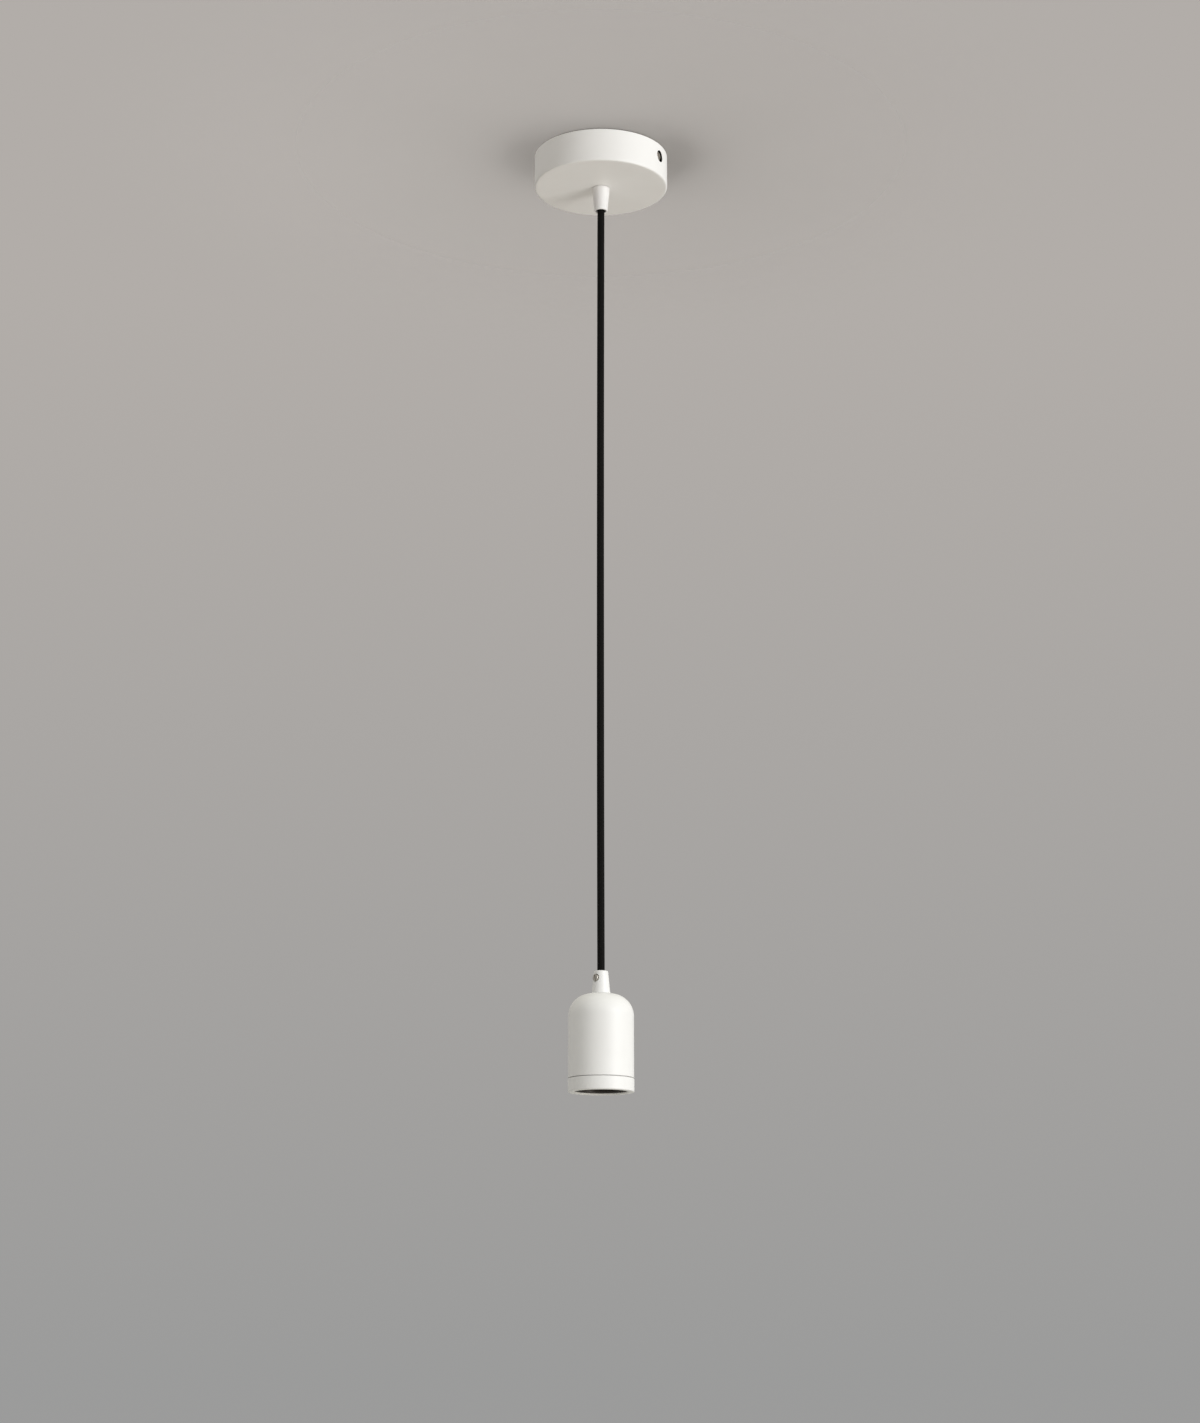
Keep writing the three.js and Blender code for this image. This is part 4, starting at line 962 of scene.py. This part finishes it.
def ceiling_strap():
    end = SIDE_SCREW_Z - EAR_MARGIN
    line = [(EAR_FACE, end), (EAR_FACE, 0), (-EAR_FACE, 0), (-EAR_FACE, end)]
    bent = strip(line, STRAP_THICK, STRAP_WIDTH, STRAP_BEND)
    strap = piece("ceiling_strap_bent", *bent, "ceiling_strap", "zinc_steel")
    tools = []
    for side in (1, -1):
        ends = (side * (EAR_FACE - SLOT_INSET - SLOT_LENGTH), side * (EAR_FACE - SLOT_INSET))
        outline = []
        for x, way in ((max(ends), 1), (min(ends), -1)):
            for angle in np.linspace(-math.pi / 2, math.pi / 2, 17):
                u, v = math.cos(angle) - 1, math.sin(angle)
                outline.append((x + way * SLOT_R * u, way * SLOT_R * v))
        tools.append(solid(*prism(outline, -3, 1)))
        ear = facing((1, 0, 0), (side * (EAR_FACE - STRAP_THICK / 2), 0, SIDE_SCREW_Z))
        tools.append(bar(SIDE_SHANK_R + SEAT, -3, 3, 40, ear))
    tools.append(bar(SMALL_R + SEAT, -3, 1, 32, at(BLOCK_X, 0, 0)))
    tools.append(bar(EARTH_R + SEAT, -3, 1, 32, at(EARTH_X, 0, 0)))
    carve(strap, tools, bevel=0.15)


CORE_SLOT = {"live": "core_brown", "neutral": "core_blue", "earth": "core_earth"}


def bezier(a, b, c, d):
    out = []
    for k in range(25):
        t = k / 24
        s = 1 - t
        out.append(a * s**3 + b * 3 * t * s**2 + c * 3 * t * t * s + d * t**3)
    return out


def core(node, number, start_z, leave, port, enter, bend, inside):
    """A core from the jacket's end at height start_z to its port, and on inside it.

    leave is 1 up or -1 down, enter is its direction in the port, and bend says how wide it swings.
    """
    first = Vector((*polar(CORE_SPREAD, TAU * number / 3), start_z))
    last, into = Vector(port), Vector(enter)
    line = bezier(first, first + Vector((0, 0, leave * bend)), last - into * bend, last)
    line += [last + into * (inside * k / 6) for k in range(1, 7)]
    verts, faces, uv = tube(line, CORE_R, 20, 0.02)
    piece(f"{node}_drawn", verts, faces, node, CORE_SLOT[node.split("_")[-1]], uv=uv)


canopy_cup()
grip("canopy", -CANOPY_H - SEAT, -1, CANOPY_SCREW_ANGLE)
ceiling_strap()
threaded_tube("canopy_tube", *CANOPY_TUBE)
nut("canopy_nut", CANOPY_NUT)
shank = SIDE_THREAD_SHOWN + STRAP_THICK + SIDE_THREAD_PAST
size = (SIDE_HEAD_R, SIDE_HEAD_LENGTH, SIDE_SHANK_R, shank)
for number, side in ((1, 1), (2, -1)):
    seat = (side * (SIDE_HEAD_FACE - SIDE_HEAD_LENGTH), 0, SIDE_SCREW_Z)
    spot = facing((side, 0, 0), seat, SIDE_SLOT_TURN)
    slotted(f"side_screw_{number}", spot, *size, "nickel_screw", SIDE_HEAD_EDGE)
down = (0, 0, -1)
strap_under = -STRAP_THICK - SEAT
lug_seat = strap_under - LUG_THICK - SEAT
spot = facing(down, (EARTH_X, 0, lug_seat))
slotted("ceiling_earth_screw", spot, *EARTH_HEAD, EARTH_R, -SEAT - lug_seat, "brass")
head_seat = BLOCK_BOTTOM + BLOCK_COUNTERBORE - SEAT
spot = facing(down, (BLOCK_X, 0, head_seat))
slotted("block_fixing_screw", spot, *SMALL_HEAD, SMALL_R, -SEAT - head_seat, "zinc_steel")
clamp_tip = POLE_Z - CORE_R - SEAT
length = clamp_tip - BLOCK_BOTTOM - CLAMP_RECESS
for number, (side, end) in enumerate(itertools.product((1, -1), repeat=2), 1):
    spot = facing(down, (BLOCK_X + end * CLAMP_SPACING / 2, side * POLE_Y, clamp_tip))
    set_screw(f"block_screw_{number}", spot, CLAMP_R, length, "zinc_steel")
ceiling_z = CORD_TOP + SEAT
mouth = (EARTH_X - LUG_REACH, 0, strap_under - LUG_MIDDLE)
bend = CEILING_CORE_BEND
core("ceiling_core_earth", 0, ceiling_z, 1, mouth, (1, 0, 0), bend, LUG_BARREL / 2)
for pole, number, side in (("live", 1, 1), ("neutral", 2, -1)):
    port = (BLOCK_X + BLOCK_LENGTH / 2, side * POLE_Y, POLE_Z)
    core(f"ceiling_core_{pole}", number, ceiling_z, 1, port, (-1, 0, 0), bend, BLOCK_LENGTH / 2)


# Lamp side


def holder_shell():
    rounding = SHELL_R - DOME_FLAT_R
    corners = [
        (TUBE_R + SEAT, SHELL_TOP, 0.2), (SHELL_R, SHELL_TOP, rounding),
        (SHELL_R, SHELL_END, 0.25), (SHELL_R - SHELL_WALL, SHELL_END, 0.15),
        (SHELL_R - SHELL_WALL, SHELL_TOP - SHELL_WALL, rounding - SHELL_WALL),
        (TUBE_R + SEAT, SHELL_TOP - SHELL_WALL, 0.2),
    ]
    shape = lathe(corners, 24, 3, 160)
    piece("holder_shell_coated", *shape, "holder_shell", "white_coat", 40)


def holder_ring():
    """The screwed ring: a lip under the socket, a bevelled band, a threaded neck."""
    top = RING_BASE + RING_H
    neck = top + RING_NECK_H
    bevel_wide, bevel_high = RING_LIP_BEVEL
    corners = [
        (RING_MOUTH_R, RING_BASE + RING_LIP, 0.1), (RING_MOUTH_R, RING_BASE + bevel_high, 0.2),
        (RING_MOUTH_R + bevel_wide, RING_BASE, 0.2), (RING_R, RING_BASE, RING_EDGE),
        (RING_R, top - RING_BEVEL, 0.12), (RING_R - RING_BEVEL, top, 0.12), (RING_NECK_R, top),
        (RING_NECK_R, neck, 0.2), (RING_BORE_R, neck, 0.2), (RING_BORE_R, RING_BASE + RING_LIP),
    ]
    wave = helix(RING_PITCH, 0.3 * RING_PITCH, top + 0.9, neck - 0.3, RING_NECK_R)
    shape = lathe(corners, 5, 0.4, 160, wave)
    piece("holder_ring_coated", *shape, "holder_ring", "white_coat", 40)


def socket_body():
    """The insulating body, with two flats for the yoke's legs and holes for its screws."""
    rim_top = SOCKET_BASE + SOCKET_RIM_H
    mouth_floor = SOCKET_BASE + SOCKET_MOUTH_DEPTH
    corners = [
        (0, SOCKET_TOP), (SOCKET_R, SOCKET_TOP, 0.6), (SOCKET_R, rim_top, 0.2),
        (SOCKET_RIM_R, rim_top, 0.2), (SOCKET_RIM_R, SOCKET_BASE, 0.2),
        (SOCKET_MOUTH_R, SOCKET_BASE, 0.6), (SOCKET_MOUTH_R, mouth_floor, 0.4),
        (SOCKET_BORE_R, mouth_floor, 0.3), (SOCKET_BORE_R, SOCKET_FLOOR), (0, SOCKET_FLOOR),
    ]
    shape = lathe(corners, 5, 4, 128)
    body = piece("socket_body_moulded", *shape, "socket_body", "dark_phenolic")
    tools = []
    for side in (1, -1):
        near, far = sorted((side * SOCKET_FLAT, side * (SOCKET_R + 1)))
        tools.append(box((-SOCKET_R, near, rim_top), (SOCKET_R, far, SOCKET_TOP + 1)))
        hole = facing((0, side, 0), (0, side * SOCKET_FLAT, YOKE_SCREW))
        tools.append(bar(SMALL_R + SEAT, -YOKE_SCREW_DEPTH - SEAT, 3, 32, hole))
    for x in (NEUTRAL_X, LIVE_X):
        tools.append(bar(RIVET_R + SEAT, SOCKET_FLOOR - 1, SOCKET_TOP + 1, 32, at(x, 0, 0)))
    carve(body, tools)


def screw_shell():
    """The E27 shell: knuckle thread rolled into thin sheet, both faces following the wave."""
    base = SOCKET_FLOOR - SEAT - THREAD_HEIGHT
    top = base + THREAD_HEIGHT
    rows = 70
    inner, outer = THREAD_MEAN, THREAD_MEAN + SHEET
    fade = THREAD_LEAD + THREAD_PITCH / 2
    heights = [base + THREAD_HEIGHT * k / rows for k in range(rows + 1)]
    outline = [(inner, z) for z in heights[:-1]]
    outline += [(inner, top - SHEET), (FLANGE_HOLE_R, top - SHEET), (FLANGE_HOLE_R, top)]
    outline += [(outer, z) for z in heights[::-1]]

    def ease(value):
        value = min(1, max(0, value))
        return value * value * (3 - 2 * value)

    def wave(radius, height, angle):
        if radius < inner - SHEET / 2:
            return radius
        z = height - base
        fades = ease(z / fade) * ease((THREAD_HEIGHT - z - SHEET) / (fade - SHEET))
        return radius + THREAD_DEPTH / 2 * math.cos(TAU * z / THREAD_PITCH - angle) * fades

    shape = turned(outline, 112, wave)
    shell = piece("socket_screw_shell_rolled", *shape, "socket_screw_shell", "brass", 50)
    carve(shell, [bar(RIVET_R + SEAT, top - 2, top + 1, 24, at(NEUTRAL_X, 0, 0))])


def centre_contact():
    """The springy tongue that the lamp's tip presses on, riveted at its live end."""
    floor = SOCKET_FLOOR - SEAT
    low = floor - CONTACT_DROP
    flat = floor - CONTACT_THICK
    line = [(-4, low + 0.6), (-2, low), (1, low), (LIVE_X - 2, flat), (CONTACT_END, flat)]
    bent = strip(line, CONTACT_THICK, CONTACT_WIDTH, 0.3)
    contact = piece("centre_contact_bent", *bent, "socket_centre_contact", "brass")
    carve(contact, [bar(RIVET_R + SEAT, low, floor + 1, 24, at(LIVE_X, 0, 0))], bevel=0.08)


def rivet(node, x, held):
    """A rivet through the socket; held is the thickness of the sheet under its lower head."""
    low = SOCKET_FLOOR - held - 2 * SEAT
    high = SOCKET_TOP + SEAT + TERMINAL_PLATE + SEAT
    head = [(0, RIVET_HEAD_H), (RIVET_R, 0.88), (1.7, 0.62), (RIVET_HEAD_R, 0), (RIVET_R, 0)]
    outline = [(radius, low - rise) for radius, rise in head]
    outline += [(radius, high + rise) for radius, rise in head[::-1]]
    verts, faces = turned(outline, 40)
    piece(f"{node}_set", moved(verts, at(x, 0, 0)), faces, node, "brass", 40)


holder_shell()
holder_ring()
grip("holder", SHELL_TOP + SEAT, 1, HOLDER_SCREW_ANGLE)
threaded_tube("holder_tube", *HOLDER_TUBE)
nut("holder_nut", HOLDER_NUT)
socket_body()
screw_shell()
centre_contact()
rivet("live_rivet", LIVE_X, CONTACT_THICK)
rivet("neutral_rivet", NEUTRAL_X, SHEET)
leg_face = SOCKET_FLAT + 2 * SEAT + YOKE_THICK
shank = leg_face - SOCKET_FLAT + YOKE_SCREW_DEPTH
for number, side in ((1, 1), (2, -1)):
    spot = facing((0, side, 0), (0, side * leg_face, YOKE_SCREW))
    slotted(f"yoke_screw_{number}", spot, *SMALL_HEAD, SMALL_R, shank, "zinc_steel")
lug_seat = SOCKET_FLAT - LUG_THICK - SEAT
shank = SOCKET_FLAT + SEAT + YOKE_THICK + YOKE_EARTH_PROUD - lug_seat
spot = facing((0, 1, 0), (0, -lug_seat, YOKE_EARTH))
slotted("holder_earth_screw", spot, *EARTH_HEAD, EARTH_R, shank, "brass")
tip = TERMINAL_BASE + TERMINAL_BORE + CORE_R + SEAT
length = TERMINAL_BASE + TERMINAL_H + TERMINAL_SCREW_PROUD - tip
far = TERMINAL_FOOT + TERMINAL_LENGTH / 2
for pole, x, y in (("live", LIVE_X + far, 0), ("neutral", NEUTRAL_X, far)):
    set_screw(f"{pole}_terminal_screw", at(x, y, tip), CLAMP_R, length, "zinc_steel")
bore = TERMINAL_BASE + TERMINAL_BORE
reach = TERMINAL_CORE_REACH
for number, (pole, port, enter, inside) in enumerate(
    (
        ("live", (LIVE_X + TERMINAL_FOOT, 0, bore), (1, 0, 0), reach),
        ("neutral", (NEUTRAL_X, TERMINAL_FOOT, bore), (0, 1, 0), reach),
        ("earth", (0, LUG_MIDDLE - SOCKET_FLAT, YOKE_EARTH + LUG_REACH), down, LUG_BARREL / 2),
    )
):
    bend = HOLDER_CORE_BEND[pole]
    core(f"holder_core_{pole}", number, CORD_END - SEAT, -1, port, enter, bend, inside)


# The CAD nodes that stay get their finish and a softened edge

slots = {part["node"]: part["material_slot"] for part in frame["record"]["subparts"]}
for name, node in frame["nodes"].items():
    if node.hide_render:
        continue
    node.data.materials.clear()
    node.data.materials.append(FINISH[slots[name]])
    soften(node, EDGE_WIDTH[slots[name]])


# Stage, in metres: a ceiling to hang from, a pale floor far below, a backdrop of even tone

BACKDROP_LOW, BACKDROP_HIGH = (0.33, 0.33, 0.328), (0.445, 0.418, 0.396)
BACKDROP_TOP = math.radians(22)
LIGHT_BELOW, LIGHT_ROUND = (0.8, 0.61, 0.46), (0.222, 0.236, 0.27)
LIGHT_ABOVE = (0.945, 0.917, 0.81)
CEILING_TONE = (0.231, 0.221, 0.212)
FLOOR_TONE = (0.6, 0.6, 0.59)
DISC_SIDES = 64


def disc(name, height, radius, faces_down, base, fade, camera_only, dark=0.0):
    """A round plane that can't be seen from behind and fades out between the two radii of fade.

    Within the radius dark it is painted black: painted shade that stands in for the shadow that a
    ceiling has inside a closed cup.
    """
    mesh = bpy.data.meshes.new(name)
    ring = [(*polar(radius, TAU * k / DISC_SIDES), height) for k in range(DISC_SIDES)]
    mesh.from_pydata(ring, [], [tuple(range(DISC_SIDES))[:: -1 if faces_down else 1]])
    obj = linked(name, mesh)
    p = Paint(name)
    length = {"operation": "LENGTH"}
    away = p.add("ShaderNodeVectorMath", length, i0=p.stretch(1, 1, 0)).outputs["Value"]
    near = p.ramp(away, *fade, 1, 0, "SMOOTHSTEP")
    behind = p.add("ShaderNodeNewGeometry").outputs["Backfacing"]
    seen = p.times(near, p.math("SUBTRACT", 1, behind))
    if camera_only:
        seen = p.times(seen, p.add("ShaderNodeLightPath").outputs["Is Camera Ray"])
    tone = p.blend(p.noise(6, 3), 0.4, 0.6, base, tuple(c * 0.99 for c in base))
    # Painted shade: within the radius dark the tone turns nearly black, for the shadow inside the
    # closed cup.
    if dark:
        tone = p.mix(p.math("LESS_THAN", away, dark), tone, tuple(c * 0.02 for c in base))
    matt = p.add("ShaderNodeBsdfDiffuse", Color=tone)
    p.shown(seen, p.add("ShaderNodeBsdfTransparent"), matt)
    mesh.materials.append(p.material)
    return obj


def graded(p, value, *colours):
    """A background whose colour runs evenly through the colours, as value goes from 0 to 1."""
    node = p.add("ShaderNodeValToRGB", Fac=value)
    elements = node.color_ramp.elements
    while len(elements) < len(colours):
        elements.new(0.5)
    for k, colour in enumerate(colours):
        elements[k].position = k / (len(colours) - 1)
        elements[k].color = (*colour, 1)
    return p.add("ShaderNodeBackground", Color=node.outputs["Color"])


def backdrop():
    """What the camera, gloss and glass see, and apart from it the soft light all round."""
    p = Paint("backdrop", world=True)
    rise = p.split(p.place)["Z"]
    level = p.ramp(rise, 0, math.sin(BACKDROP_TOP), 0, 1)
    tone = graded(p, level, BACKDROP_LOW, BACKDROP_HIGH)
    soft = graded(p, p.ramp(rise, -1, 1, 0, 1), LIGHT_BELOW, LIGHT_ROUND, LIGHT_ABOVE)
    path = p.add("ShaderNodeLightPath").outputs
    seen = p.math("MAXIMUM", path["Is Glossy Ray"], path["Is Transmission Ray"])
    p.shown(p.math("MAXIMUM", path["Is Camera Ray"], seen), soft, tone)
    scene.world = p.material


def lamp(name, turn, height, distance, aim, size, power, colour, stages, lights="EXCLUDE"):
    """A soft lamp, turned by so many degrees from the camera to the right, seen from above.

    It looks at the height aim on the cord's line, and size is its width and height. It lights
    all but stages, or with INCLUDE stages alone.
    """
    data = bpy.data.lights.new(name, "AREA")
    data.shape = "RECTANGLE"
    data.size, data.size_y = size
    data.energy = power
    data.color = colour
    obj = linked(name, data)
    heading = CAMERA_TURN + math.radians(turn)
    obj.location = (math.sin(heading) * distance, -math.cos(heading) * distance, height)
    view = Vector((0, 0, aim)) - obj.location
    obj.rotation_mode = "QUATERNION"
    obj.rotation_quaternion = view.to_track_quat("-Z", "Y")
    reach = bpy.data.collections.new(f"{name}_reach")
    for stage in stages:
        reach.objects.link(stage)
    for member in reach.collection_objects:
        member.light_linking.link_state = lights
    obj.light_linking.receiver_collection = reach


# The ceiling is painted black inside the cup's inner radius: painted shade for the shadow inside
# the closed cup.
ceiling = disc(
    "stage_ceiling", height=0.0006, radius=1.4, faces_down=True, base=CEILING_TONE,
    fade=(0.1, 0.4), camera_only=True, dark=(CANOPY_R - CANOPY_WALL) * MM,
)
floor = disc(
    "stage_floor", height=-1.35, radius=3.0, faces_down=False, base=FLOOR_TONE,
    fade=(0.8, 2.8), camera_only=False,
)
backdrop()
lamp(
    "key_lamp", turn=51, height=-0.28, distance=1.3, aim=-0.35, size=(0.8, 0.8),
    power=9.6, colour=(0.93, 0.97, 1), stages=[ceiling],
)
lamp(
    "low_lamp", turn=55, height=-1.1, distance=2.4, aim=-0.35, size=(0.9, 0.9),
    power=13.6, colour=(1, 0.93, 0.87), stages=[ceiling, floor],
)
WASHES = (("side", 90, 1.6, 1), ("front", 50, 1.2, 0.5), ("back", 130, 1.2, 0.5))
for side, way, power in (("left", -1, 30), ("right", 1, 22.5)):
    for part, turn, width, share in WASHES:
        lamp(
            f"ceiling_wash_{side}_{part}", turn=way * turn, height=-1.0, distance=1.0, aim=-1.0,
            size=(width, 2.0), power=power * share, colour=(1, 1, 1), stages=[ceiling],
            lights="INCLUDE",
        )

scene.view_settings.view_transform = "Standard"
